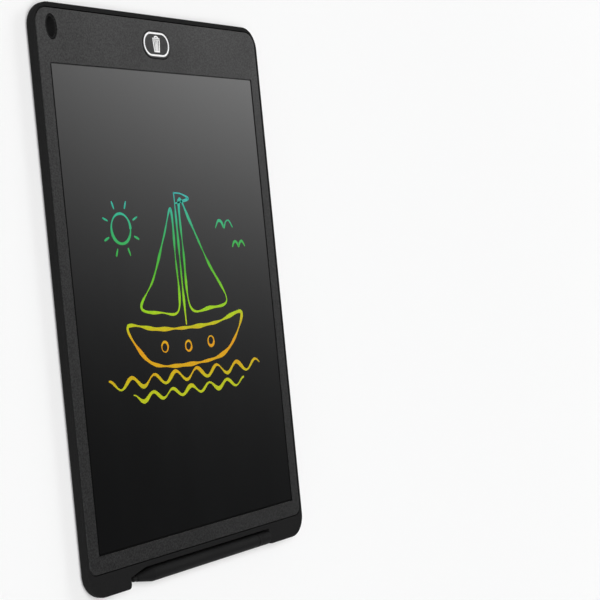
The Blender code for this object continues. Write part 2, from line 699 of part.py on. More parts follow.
def housing_bosses():
    """Raised details on the housing's floor: standoffs, press support, ribs, guides, sleeve and collar."""
    root = BACK_WALL / 2
    post_top = BOARD_LOW - SEAT_GAP
    bosses = []
    for place_x, place_y in SCREW_PLACES.values():
        profile = [(root, STANDOFF_RADIUS), (post_top, STANDOFF_RADIUS)]
        bosses.append(turned_z("standoff", profile, place_x, place_y, steps=SMALL_ROUND_STEPS))
    profile = [(root, DOME_RADIUS), (post_top, DOME_RADIUS)]
    bosses.append(turned_z("press_support", profile, DOME_X, CAP_Y, steps=SMALL_ROUND_STEPS))
    low_y = STEP_OUTER + BACK_WALL / 2
    high_y = CAVITY_TOP + LEDGE_WIDTH / 2
    for rib_x in (-RIB_OFFSET, RIB_OFFSET):
        left = rib_x - RIB_WALL / 2
        bosses.append(block("rib", left, low_y, root, left + RIB_WALL, high_y, LEDGE - SEAT_GAP))
    guide_low = CAVITY_TOP - GUIDE_LENGTH
    for guide_left in (BAY_LEFT - GUIDE_WALL, BAY_RIGHT):
        guide_right = guide_left + GUIDE_WALL
        bosses.append(block("guide", guide_left, guide_low, root, guide_right, high_y, CELL_HIGH))
    bosses.append(prism("sleeve", lanyard_oval(LANYARD_SLEEVE_WALL), root, PLATE_LOW - SEAT_GAP))
    bosses.append(prism("collar", lanyard_oval(-LANYARD_COLLAR_GAP), root, FACE - LANYARD_COLLAR_SETBACK))
    return bosses


def lock_cutters():
    """Shallow recess round the lock, and the slot that its knob slides in."""
    half_length = LOCK_RECESS_LENGTH / 2
    half_height = LOCK_RECESS_HEIGHT / 2
    recess = block("lock_recess", LOCK_OFFSET - half_length, LOCK_Y - half_height, -CUT_OVERRUN,
                   LOCK_OFFSET + half_length, LOCK_Y + half_height, LOCK_RECESS_DEPTH)
    slot_half = (KNOB_LENGTH + LOCK_TRAVEL) / 2 + KNOB_GAP
    slot_rise = KNOB_HEIGHT / 2 + KNOB_GAP
    slot = block("lock_slot", LOCK_SLOT_X - slot_half, LOCK_Y - slot_rise, -CUT_OVERRUN,
                 LOCK_SLOT_X + slot_half, LOCK_Y + slot_rise, BACK_WALL + CUT_OVERRUN)
    return recess, slot


def lanyard_cutter(grow):
    """Through hole for a lanyard, as tall as it needs to be for both shells."""
    return prism("lanyard_cutter", lanyard_oval(grow), -CUT_OVERRUN, FACE + CUT_OVERRUN)


def make_rear_housing():
    """Moulded back shell with its rim, bottom band, notch, lock recess, tray bay and lanyard hole."""
    housing = housing_block()
    cut(housing, pocket_cutter(), *hollow_cutters())
    join(housing, *housing_bosses())
    bore = lanyard_cutter(-LANYARD_COLLAR_GAP - LANYARD_COLLAR_WALL)
    cut(housing, notch_cutter(), bay_cutter(), bore, *lock_cutters())
    for place_x, place_y in SCREW_PLACES.values():
        profile = [(PILOT_SKIN, PILOT_RADIUS), (BOARD_LOW + CUT_OVERRUN, PILOT_RADIUS)]
        cut(housing, turned_z("pilot", profile, place_x, place_y, steps=SMALL_ROUND_STEPS))
    mark_top = POCKET_DEPTH + GATE_MARK_DEPTH
    mark = [(POCKET_DEPTH - CUT_OVERRUN, GATE_MARK_RADIUS), (mark_top, GATE_MARK_RADIUS)]
    cut(housing, turned_z("gate_mark", mark, 0, GATE_MARK_HEIGHT, steps=SMALL_ROUND_STEPS))
    dress(housing, BLACK_PLASTIC)


def make_face_plate():
    """Front frame with the window, its thin lip over the films, the button hole and the lanyard hole."""
    rings = [ring(plate_outline(0), PLATE_LOW)]
    for angle in (0, 45, 90):
        inset = PLATE_EDGE_RADIUS * (1 - math.cos(math.radians(angle)))
        height = FACE - PLATE_EDGE_RADIUS * (1 - math.sin(math.radians(angle)))
        rings.append(ring(plate_outline(-inset), height))
    plate = loft("face_plate", rings)
    lip_low = FACE - LIP_THICKNESS
    window = prism("window", screen_outline(0), PLATE_LOW - CUT_OVERRUN, FACE + CUT_OVERRUN)
    rebate = prism("rebate", screen_outline(LIP_WIDTH + PLATE_GAP), PLATE_LOW - CUT_OVERRUN, lip_low)
    hole = stadium(CAP_OFFSET, CAP_Y, CAP_LENGTH + 2 * CAP_GAP, CAP_HEIGHT + 2 * CAP_GAP)
    button_hole = prism("button_hole", hole, PLATE_LOW - CUT_OVERRUN, FACE + CUT_OVERRUN)
    cut(plate, window, rebate, button_hole, lanyard_cutter(0))
    dress(plate, GREY_PLASTIC)


def make_bezel_tape():
    """Thin adhesive frame between the housing's ledge and the face plate."""
    low = LEDGE + SEAT_GAP
    inner = cavity_outline(BEZEL_TAPE_SETBACK, CAVITY_CORNER_RADIUS)
    tape = frame_solid("bezel_tape", plate_outline(-BEZEL_TAPE_INSET), inner, low, low + BEZEL_TAPE_THICKNESS)
    dress(tape, TAPE_BLACK)


def make_films():
    """Makes the stack under the window, and returns the underside of its crystal film."""
    writing_high = FACE - LIP_THICKNESS - SEAT_GAP
    writing_low = writing_high - WRITING_FILM_THICKNESS
    film = prism("writing_film", film_outline(0), writing_low, writing_high)
    root = (writing_low + writing_high) / 2
    join(film, prism("pad", screen_outline(-WINDOW_GAP), root, FACE - WINDOW_SETBACK))
    dress(film, FILM_BLACK)
    crystal_high = writing_low - SEAT_GAP
    crystal_low = crystal_high - CRYSTAL_FILM_THICKNESS
    dress(prism("crystal_film", film_outline(0), crystal_low, crystal_high), CRYSTAL_GREEN)
    backing_high = crystal_low - SEAT_GAP
    backing_low = backing_high - BACKING_FILM_THICKNESS
    dress(prism("backing_film", film_outline(0), backing_low, backing_high), ABSORBER_BLACK)
    support_low = SCREEN_FLOOR + SEAT_GAP
    support_high = backing_low - SEAT_GAP
    frame_inner = film_outline(TAPE_FRAME_WIDTH)
    dress(frame_solid("foam_tape_frame", film_outline(0), frame_inner, support_low, support_high), TAPE_BLACK)
    board_outline = film_outline(TAPE_FRAME_WIDTH + RUNNING_GAP)
    dress(prism("support_board", board_outline, support_low, support_high), FOAM_WHITE)
    return crystal_low


def make_erase_button():
    """Stadium cap with a flange under the face plate and an off-centre nub over the snap dome."""
    flange = stadium(CAP_OFFSET, CAP_Y, CAP_LENGTH + 2 * FLANGE_OVERHANG, CAP_HEIGHT + 2 * FLANGE_OVERHANG)
    cap = prism("erase_button", flange, FLANGE_LOW, FLANGE_HIGH)
    crown = FACE + CAP_PROUD
    root = (FLANGE_LOW + FLANGE_HIGH) / 2
    rings = [ring(stadium(CAP_OFFSET, CAP_Y, CAP_LENGTH, CAP_HEIGHT), root)]
    for angle in (0, 45, 90):
        inset = CAP_EDGE_RADIUS * (1 - math.cos(math.radians(angle)))
        height = crown - CAP_EDGE_RADIUS * (1 - math.sin(math.radians(angle)))
        rings.append(ring(stadium(CAP_OFFSET, CAP_Y, CAP_LENGTH - 2 * inset, CAP_HEIGHT - 2 * inset), height))
    nub_low = PART_LOW + DOME_HEIGHT + SEAT_GAP
    nub = turned_z("nub", [(nub_low, NUB_RADIUS), (root, NUB_RADIUS)], DOME_X, CAP_Y, steps=SMALL_ROUND_STEPS)
    join(cap, loft("crown", rings), nub)
    dress(cap, GREY_PLASTIC)
    hang_on_axis("erase_button_axis", (CAP_OFFSET, CAP_Y, FACE), [cap])


def make_snap_dome():
    """Thin sprung dome on the board, under the button's nub."""
    steps = EDGE_STEPS
    outer = []
    inner = []
    for step in range(steps):
        angle = math.radians(90 * step / steps)
        outer.append((PART_LOW + DOME_HEIGHT * math.sin(angle), DOME_RADIUS * math.cos(angle)))
        inner_rise = (DOME_HEIGHT - DOME_WALL) * math.sin(angle)
        inner.append((PART_LOW + inner_rise, (DOME_RADIUS - DOME_WALL) * math.cos(angle)))
    rings = [(outer[0][0], outer[0][1])] + outer[1:] + [(PART_LOW + DOME_HEIGHT, DOME_WALL)]
    rings += [(PART_LOW + DOME_HEIGHT - DOME_WALL, DOME_WALL)] + inner[::-1]
    dome = turned_z("snap_dome", rings, DOME_X, CAP_Y, closed=True, steps=SMALL_ROUND_STEPS)
    dress(dome, STEEL)


def make_circuit_board():
    """Board across the top band, with its screw holes and the cut-out that the lock switch sinks into."""
    radii = (BOARD_CORNER_RADIUS,) * 4
    outline = rounded_box(BOARD_LEFT, BOARD_BOTTOM, BOARD_RIGHT, BOARD_TOP, radii, EDGE_STEPS)
    board = prism("circuit_board", outline, BOARD_LOW, BOARD_HIGH)
    low = BOARD_LOW - CUT_OVERRUN
    high = BOARD_HIGH + CUT_OVERRUN
    half_length = SWITCH_LENGTH / 2 + SEAT_GAP
    half_width = SWITCH_WIDTH / 2 + SEAT_GAP
    cut(board, block("switch_hole", LOCK_SLOT_X - half_length, LOCK_Y - half_width, low,
                     LOCK_SLOT_X + half_length, LOCK_Y + half_width, high))
    for place_x, place_y in SCREW_PLACES.values():
        profile = [(low, SCREW_HOLE_RADIUS), (high, SCREW_HOLE_RADIUS)]
        cut(board, turned_z("screw_hole", profile, place_x, place_y, steps=SMALL_ROUND_STEPS))
    dress(board, BOARD_GREEN)


def make_board_screws():
    """Self-tapping screws with cross recesses that hold the board to its standoffs."""
    head_low = BOARD_HIGH + SEAT_GAP
    head_high = head_low + SCREW_HEAD_THICKNESS
    edge = SCREW_HEAD_THICKNESS / 3
    for place, (place_x, place_y) in SCREW_PLACES.items():
        profile = [
            (PILOT_SKIN + SEAT_GAP, SCREW_SHANK_RADIUS / 2),
            (PILOT_SKIN + SEAT_GAP + SCREW_SHANK_RADIUS / 2, SCREW_SHANK_RADIUS),
            (head_low, SCREW_SHANK_RADIUS),
            (head_low, SCREW_HEAD_RADIUS),
            (head_high - edge, SCREW_HEAD_RADIUS),
            (head_high, SCREW_HEAD_RADIUS - edge),
        ]
        screw = turned_z("board_screw_" + place, profile, place_x, place_y, steps=SMALL_ROUND_STEPS)
        low = head_high - SCREW_RECESS_DEPTH
        high = head_high + CUT_OVERRUN
        half_length = SCREW_RECESS_LENGTH / 2
        half_width = SCREW_RECESS_WIDTH / 2
        for half_x, half_y in ((half_length, half_width), (half_width, half_length)):
            cut(screw, block("recess", place_x - half_x, place_y - half_y, low,
                             place_x + half_x, place_y + half_y, high))
        dress(screw, STEEL)


def make_driver_chip():
    """Eight-lead driver that makes the erasing pulse."""
    low = PART_LOW
    body_low = low + CHIP_LEAD_THICKNESS
    half_length = CHIP_LENGTH / 2
    half_width = CHIP_WIDTH / 2
    comb = [(CHIP_X - half_length, CHIP_ROW - half_width)]
    first = -(CHIP_LEADS_A_SIDE - 1) / 2 * CHIP_LEAD_PITCH
    for index in range(CHIP_LEADS_A_SIDE):
        lead_x = CHIP_X + first + index * CHIP_LEAD_PITCH
        tooth = ((-1, 0), (-1, -1), (1, -1), (1, 0))
        comb += [(lead_x + side * CHIP_LEAD_WIDTH / 2, CHIP_ROW - half_width + out * CHIP_LEAD_REACH)
                 for side, out in tooth]
    comb.append((CHIP_X + half_length, CHIP_ROW - half_width))
    comb += [(2 * CHIP_X - x, 2 * CHIP_ROW - y) for x, y in comb]
    chip = prism("driver_chip", comb, low, body_low)
    edge = CHIP_EDGE
    base = rounded_box(CHIP_X - half_length - edge, CHIP_ROW - half_width - edge, CHIP_X + half_length + edge,
                       CHIP_ROW + half_width + edge, (0, 0, 0, 0))
    crown = rounded_box(CHIP_X - half_length, CHIP_ROW - half_width, CHIP_X + half_length,
                        CHIP_ROW + half_width, (0, 0, 0, 0))
    root = low + CHIP_LEAD_THICKNESS / 2
    shoulder = low + CHIP_HEIGHT / 2
    body = loft("chip_body", [ring(base, root), ring(base, shoulder), ring(crown, low + CHIP_HEIGHT)])
    join(chip, body)
    dress(chip, CHIP_BLACK)


def make_boost_inductor():
    """Drum core inductor with a waist between its two square flanges."""
    half = INDUCTOR_SIZE / 2
    flange = INDUCTOR_HEIGHT / 4
    levels = (
        (0, 0),
        (0, flange),
        (INDUCTOR_WAIST, flange),
        (INDUCTOR_WAIST, INDUCTOR_HEIGHT - flange),
        (0, INDUCTOR_HEIGHT - flange),
        (0, INDUCTOR_HEIGHT),
    )
    rings = []
    for inset, rise in levels:
        reach = half - inset
        radius = INDUCTOR_CORNER
        outline = rounded_box(INDUCTOR_X - reach, CHIP_ROW - reach, INDUCTOR_X + reach, CHIP_ROW + reach,
                              (radius,) * 4, EDGE_STEPS)
        rings.append(ring(outline, PART_LOW + rise))
    dress(loft("boost_inductor", rings), FERRITE_GREY)


def make_two_terminal_part(name, centre_x, centre_y, size, finish):
    """Small part with a slightly thicker metal terminal at each end."""
    length, width, height = size
    quarter = length / 4
    step = TERMINAL_STEP
    stations = (
        (-length / 2, 0),
        (-quarter, 0),
        (-quarter, step),
        (quarter, step),
        (quarter, 0),
        (length / 2, 0),
    )
    rings = []
    for along, inset in stations:
        side = width / 2 - inset
        low = PART_LOW + inset
        high = PART_LOW + height - inset
        corners = ((-side, low), (side, low), (side, high), (-side, high))
        rings.append([Vector((centre_x + along, centre_y + across, z)) for across, z in corners])
    dress(loft(name, rings), finish)


def make_small_parts():
    """Capacitors, diode and resistors of the pulse circuit."""
    capacitor = (CAPACITOR_LENGTH, CAPACITOR_WIDTH, CAPACITOR_HEIGHT)
    pitch = (CAPACITOR_WIDTH + COMPONENT_GAP) / 2
    make_two_terminal_part("input_capacitor", CAPACITOR_X, CHIP_ROW + pitch, capacitor, CERAMIC_TAN)
    make_two_terminal_part("output_capacitor", CAPACITOR_X, CHIP_ROW - pitch, capacitor, CERAMIC_TAN)
    row = CONNECTOR_LOW_Y + CONNECTOR_DEPTH / 2
    resistor = (RESISTOR_LENGTH, RESISTOR_WIDTH, RESISTOR_HEIGHT)
    diode = (DIODE_LENGTH, DIODE_WIDTH, DIODE_HEIGHT)
    diode_x = CONNECTOR_X - CONNECTOR_LENGTH / 2 - COMPONENT_GAP - DIODE_LENGTH / 2
    make_two_terminal_part("rectifier_diode", diode_x, row, diode, CHIP_BLACK)
    resistor_x = diode_x - DIODE_LENGTH / 2 - COMPONENT_GAP - RESISTOR_LENGTH / 2
    make_two_terminal_part("gate_resistor", resistor_x, row, resistor, CHIP_BLACK)
    upper_row = row + DIODE_WIDTH / 2 + COMPONENT_GAP + RESISTOR_WIDTH / 2
    make_two_terminal_part("bias_resistor", resistor_x, upper_row, resistor, CHIP_BLACK)


def make_screen_tail(film_low):
    """Flexible tail from the crystal film, over the step, into its connector on the board."""
    entry_z = PART_LOW + CONNECTOR_HEIGHT / 2
    film_z = film_low - TAIL_THICKNESS / 2
    start_y = FILM_TOP + SEAT_GAP
    bend_y = start_y + TAIL_SLACK
    drop_y = CONNECTOR_LOW_Y - TAIL_SLACK
    path = [(start_y, film_z), (bend_y, film_z), (drop_y, entry_z), (CONNECTOR_LOW_Y + TAIL_ENTRY, entry_z)]
    half = TAIL_WIDTH / 2
    tail = swept_x("screen_tail", thickened(path, TAIL_THICKNESS), CONNECTOR_X - half, CONNECTOR_X + half)
    dress(tail, AMBER_FILM)
    slot_half = TAIL_THICKNESS / 2 + CONNECTOR_LIP / 2
    slot_end = CONNECTOR_LOW_Y + TAIL_ENTRY + SEAT_GAP
    high_y = CONNECTOR_LOW_Y + CONNECTOR_DEPTH
    high = PART_LOW + CONNECTOR_HEIGHT
    box = block("tail_connector", CONNECTOR_X - CONNECTOR_LENGTH / 2, CONNECTOR_LOW_Y, PART_LOW,
                CONNECTOR_X + CONNECTOR_LENGTH / 2, high_y, high)
    mouth_half = half + SEAT_GAP
    cut(box, block("mouth", CONNECTOR_X - mouth_half, CONNECTOR_LOW_Y - CUT_OVERRUN, entry_z - slot_half,
                   CONNECTOR_X + mouth_half, slot_end, entry_z + slot_half))
    dress(box, IVORY_PLASTIC)


def make_lock_switch():
    """Slide switch sunk in the board's cut-out, resting on two ears, with a slot for its lever below."""
    half_length = SWITCH_LENGTH / 2
    half_width = SWITCH_WIDTH / 2
    switch = block("lock_switch", LOCK_SLOT_X - half_length, LOCK_Y - half_width, SWITCH_LOW,
                   LOCK_SLOT_X + half_length, LOCK_Y + half_width, SWITCH_HIGH)
    ear_half = half_length + SWITCH_EAR_REACH
    ears = block("ears", LOCK_SLOT_X - ear_half, LOCK_Y - half_width / 2, PART_LOW,
                 LOCK_SLOT_X + ear_half, LOCK_Y + half_width / 2, PART_LOW + SWITCH_EAR_THICKNESS)
    join(switch, ears)
    slot_half = (LEVER_LENGTH + LOCK_TRAVEL) / 2 + SEAT_GAP
    slot_width = LEVER_WIDTH / 2 + SEAT_GAP
    cut(switch, block("lever_slot", LOCK_SLOT_X - slot_half, LOCK_Y - slot_width, SWITCH_LOW - CUT_OVERRUN,
                      LOCK_SLOT_X + slot_half, LOCK_Y + slot_width, SWITCH_LOW + SWITCH_SLOT_DEPTH))
    dress(switch, STEEL)


def make_lock_slider():
    """Knob with an inner flange and a socket for the switch's lever, at the unlocked end of its travel."""
    half_length = KNOB_LENGTH / 2
    half_height = KNOB_HEIGHT / 2
    slider = block("lock_slider", KNOB_X - half_length, LOCK_Y - half_height, KNOB_SETBACK,
                   KNOB_X + half_length, LOCK_Y + half_height, SLIDER_HIGH)
    flange_length = half_length + KNOB_FLANGE_OVERHANG
    flange_height = half_height + KNOB_FLANGE_OVERHANG
    flange = block("knob_flange", KNOB_X - flange_length, LOCK_Y - flange_height, SLIDER_LOW,
                   KNOB_X + flange_length, LOCK_Y + flange_height, SLIDER_HIGH)
    join(slider, flange)
    socket_x = LEVER_LENGTH / 2 + LEVER_SOCKET_GAP
    socket_y = LEVER_WIDTH / 2 + LEVER_SOCKET_GAP
    cut(slider, block("lever_socket", KNOB_X - socket_x, LOCK_Y - socket_y, LEVER_SOCKET_FLOOR,
                      KNOB_X + socket_x, LOCK_Y + socket_y, SLIDER_HIGH + CUT_OVERRUN))
    first = -(KNOB_GRIPS - 1) / 2 * KNOB_GRIP_PITCH
    for index in range(KNOB_GRIPS):
        middle = KNOB_X + first + index * KNOB_GRIP_PITCH
        width = KNOB_GRIP_PITCH / 4
        cut(slider, block("grip_groove", middle - width, LOCK_Y - half_height - CUT_OVERRUN, -CUT_OVERRUN,
                          middle + width, LOCK_Y + half_height + CUT_OVERRUN, KNOB_SETBACK + KNOB_GRIP_DEPTH))
    dress(slider, BLACK_PLASTIC)
    lever_low = LEVER_SOCKET_FLOOR + SEAT_GAP
    lever = block("lock_lever", KNOB_X - LEVER_LENGTH / 2, LOCK_Y - LEVER_WIDTH / 2, lever_low,
                  KNOB_X + LEVER_LENGTH / 2, LOCK_Y + LEVER_WIDTH / 2, SWITCH_LOW + LEVER_RISE)
    dress(lever, IVORY_PLASTIC)
    hang_on_axis("lock_axis", (KNOB_X, LOCK_Y, KNOB_SETBACK), [slider, lever])


def make_battery_tray():
    """Tray that slides out of the top edge, open in the middle for the lower contact, with its coin cell."""
    left = TRAY_OFFSET - TRAY_HALF
    right = TRAY_OFFSET + TRAY_HALF
    face_outer = TOP - TRAY_FACE_INSET
    tray = block("battery_tray", left, TRAY_BOTTOM, TRAY_LOW_Z, right, face_outer, CELL_HIGH)
    seat_low = TRAY_LOW_Z + TRAY_FLOOR
    above = CELL_HIGH + CUT_OVERRUN
    well_radius = CELL_RADIUS + SEAT_GAP
    well = turned_z("well", [(seat_low, well_radius), (above, well_radius)], TRAY_OFFSET, CELL_Y)
    slot_low = TRAY_LOW_Z - CUT_OVERRUN
    slot = block("tray_slot", TRAY_OFFSET - TRAY_SLOT_HALF, TRAY_BOTTOM - CUT_OVERRUN, slot_low,
                 TRAY_OFFSET + TRAY_SLOT_HALF, CELL_Y + TRAY_SLOT_REACH, above)
    groove_z = (TRAY_LOW_Z + CELL_HIGH) / 2
    groove_points = circle(face_outer, groove_z, NAIL_GROOVE_RADIUS, SMALL_ROUND_STEPS)
    half_groove = NAIL_GROOVE_LENGTH / 2
    groove = swept_x("nail_groove", groove_points, TRAY_OFFSET - half_groove, TRAY_OFFSET + half_groove)
    cut(tray, well, slot, groove)
    dress(tray, BLACK_PLASTIC)
    step = CELL_STEP
    profile = [
        (CELL_LOW, CELL_RADIUS - step),
        (CELL_LOW + step, CELL_RADIUS - step),
        (CELL_LOW + step, CELL_RADIUS),
        (CELL_HIGH - step / 2, CELL_RADIUS),
        (CELL_HIGH, CELL_RADIUS - step / 2),
    ]
    cell = turned_z("coin_cell", profile, TRAY_OFFSET, CELL_Y)
    dress(cell, STEEL)
    hang_on_axis("battery_tray_axis", (TRAY_OFFSET, TOP, CELL_LOW), [tray, cell])


def make_contacts():
    """Sprung strips from the board to the coin cell: one over it and one under it."""
    half_width = CONTACT_WIDTH / 2
    half = CONTACT_THICKNESS / 2
    pad = BOARD_RIGHT - CONTACT_PAD
    over = POSITIVE_LOW + half
    pad_high = PART_LOW + half
    path = [(pad, pad_high), (BOARD_RIGHT, pad_high), (BOARD_RIGHT + CONTACT_RISE, over)]
    path.append((TRAY_OFFSET + CONTACT_RISE, over))
    sheet = thickened(path, CONTACT_THICKNESS)
    positive = swept_y("positive_contact", sheet, CELL_Y - half_width, CELL_Y + half_width)
    dress(positive, NICKEL)
    under = NEGATIVE_LOW + half
    pad_low = BOARD_LOW - SEAT_GAP - half
    touch = CELL_LOW - SEAT_GAP - half
    finger = TRAY_OFFSET - CONTACT_RISE
    path = [(pad, pad_low), (BOARD_RIGHT, pad_low), (BOARD_RIGHT + CONTACT_RISE, under)]
    path += [(finger - CONTACT_RISE, under), (finger, touch), (finger + 2 * CONTACT_RISE, touch)]
    middle = CELL_Y - NEGATIVE_BELOW_CENTRE
    sheet = thickened(path, CONTACT_THICKNESS)
    negative = swept_y("negative_contact", sheet, middle - half_width, middle + half_width)
    dress(negative, NICKEL)


def rounded_shoulder(end_x, radius, edge, direction):
    """Profile points that round a turned end off, going the way that direction says."""
    points = []
    for angle in (0, 30, 60, 90):
        back = edge * (1 - math.sin(math.radians(angle)))
        drop = edge * (1 - math.cos(math.radians(angle)))
        points.append((end_x - direction * back, radius - drop))
    return points


def make_stylus():
    """Stylus of three pieces lying along the notch: a tube with a cone, a nib in its nose and an end cap."""
    nose_x = STYLUS_TIP_X + NIB_LENGTH + SEAT_GAP
    cone_x = STYLUS_TIP_X + STYLUS_CONE_LENGTH
    bore_x = cone_x + STYLUS_EDGE_RADIUS
    groove_x = STYLUS_JOINT_X - STYLUS_GROOVE_FROM_JOINT
    groove_radius = STYLUS_RADIUS - STYLUS_GROOVE_DEPTH
    stem_bore = NIB_STEM_RADIUS + SEAT_GAP
    profile = [
        (nose_x, STYLUS_NOSE_RADIUS),
        (cone_x, STYLUS_RADIUS),
        (groove_x, STYLUS_RADIUS),
        (groove_x, groove_radius),
        (groove_x + STYLUS_GROOVE_WIDTH, groove_radius),
        (groove_x + STYLUS_GROOVE_WIDTH, STYLUS_RADIUS),
        (STYLUS_JOINT_X - SEAT_GAP, STYLUS_RADIUS),
        (STYLUS_JOINT_X, groove_radius),
        (STYLUS_JOINT_X, STYLUS_BORE_RADIUS),
        (bore_x, STYLUS_BORE_RADIUS),
        (bore_x, stem_bore),
        (nose_x, stem_bore),
    ]
    barrel = turned_x("stylus_barrel", profile, STYLUS_Y, STYLUS_Z, closed=True)
    dress(barrel, CHARCOAL_PLASTIC)
    nib_profile = rounded_shoulder(STYLUS_TIP_X, NIB_RADIUS, NIB_EDGE_RADIUS, -1)[::-1]
    nib_profile += [
        (STYLUS_TIP_X + NIB_LENGTH, NIB_RADIUS),
        (STYLUS_TIP_X + NIB_LENGTH, NIB_STEM_RADIUS),
        (STYLUS_TIP_X + NIB_LENGTH + NIB_STEM_LENGTH, NIB_STEM_RADIUS),
    ]
    nib = turned_x("stylus_nib", nib_profile, STYLUS_Y, STYLUS_Z)
    dress(nib, NIB_GREY)
    cap_x = STYLUS_JOINT_X + SEAT_GAP
    spigot = STYLUS_BORE_RADIUS - SEAT_GAP
    cap_profile = [
        (cap_x - END_CAP_SPIGOT_LENGTH, spigot - SEAT_GAP),
        (cap_x - END_CAP_SPIGOT_LENGTH + SEAT_GAP, spigot),
        (cap_x, spigot),
        (cap_x, STYLUS_RADIUS - SEAT_GAP),
        (cap_x + SEAT_GAP, STYLUS_RADIUS),
    ]
    cap_profile += rounded_shoulder(STYLUS_END_X, STYLUS_RADIUS, STYLUS_EDGE_RADIUS, 1)
    cap = turned_x("stylus_end_cap", cap_profile, STYLUS_Y, STYLUS_Z)
    dress(cap, CHARCOAL_PLASTIC)
    middle = (STYLUS_TIP_X + STYLUS_END_X) / 2
    hang_on_axis("stylus_axis", (middle, STYLUS_Y, STYLUS_Z), [barrel, nib, cap])


def main():
    """Builds every piece of the tablet."""
    clear_scene()
    make_rear_housing()
    make_face_plate()
    make_bezel_tape()
    film_low = make_films()
    make_erase_button()
    make_snap_dome()
    make_circuit_board()
    make_board_screws()
    make_driver_chip()
    make_boost_inductor()
    make_small_parts()
    make_screen_tail(film_low)
    make_lock_switch()
    make_lock_slider()
    make_battery_tray()
    make_contacts()
    make_stylus()


main()
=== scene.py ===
"""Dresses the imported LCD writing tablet: finishes, fine pieces, studio and camera.

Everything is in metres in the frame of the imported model. X runs across the tablet, Y up its height and Z out
of the writing face, and the back lies on the plane z = 0.
"""

import json
import logging
import math
import sys
from collections.abc import Callable, Iterable, Sequence
from dataclasses import dataclass, field
from enum import Enum

import bpy
from mathutils import Euler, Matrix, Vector

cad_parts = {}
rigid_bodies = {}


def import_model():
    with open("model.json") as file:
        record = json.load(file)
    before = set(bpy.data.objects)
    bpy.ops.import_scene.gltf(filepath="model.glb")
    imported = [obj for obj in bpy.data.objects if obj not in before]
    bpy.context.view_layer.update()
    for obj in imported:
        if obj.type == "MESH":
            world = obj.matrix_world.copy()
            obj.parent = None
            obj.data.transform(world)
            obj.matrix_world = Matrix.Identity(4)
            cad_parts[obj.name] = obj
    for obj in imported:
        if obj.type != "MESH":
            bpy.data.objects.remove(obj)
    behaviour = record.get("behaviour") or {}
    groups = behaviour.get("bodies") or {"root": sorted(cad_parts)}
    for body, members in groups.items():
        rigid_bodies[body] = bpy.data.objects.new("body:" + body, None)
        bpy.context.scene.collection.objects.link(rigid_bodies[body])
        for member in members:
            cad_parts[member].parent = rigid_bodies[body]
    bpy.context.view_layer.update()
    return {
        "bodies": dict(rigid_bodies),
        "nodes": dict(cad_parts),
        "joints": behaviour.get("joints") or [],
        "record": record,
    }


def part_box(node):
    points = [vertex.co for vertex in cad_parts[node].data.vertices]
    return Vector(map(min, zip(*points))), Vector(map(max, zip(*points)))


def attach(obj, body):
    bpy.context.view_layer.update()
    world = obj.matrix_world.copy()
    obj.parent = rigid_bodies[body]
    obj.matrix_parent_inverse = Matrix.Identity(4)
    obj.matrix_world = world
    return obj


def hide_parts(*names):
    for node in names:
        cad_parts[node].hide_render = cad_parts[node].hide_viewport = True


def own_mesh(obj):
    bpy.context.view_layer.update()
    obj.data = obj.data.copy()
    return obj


Colour = tuple[float, float, float]
FlatPoint = tuple[float, float]
Span = tuple[float, float]
Point = tuple[float, float, float]
Socket = bpy.types.NodeSocket
Material = bpy.types.Material
Piece = bpy.types.Object

MM = 0.001
TINY = 0.000001
REPORT = logging.getLogger("tablet")


class Body(Enum):
    """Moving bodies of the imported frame."""

    TABLET = "tablet"
    ERASE_BUTTON = "erase_button"
    STYLUS = "stylus"


class Axis(Enum):
    """Direction that a surface's lines run along."""

    ACROSS = 0
    UP = 1


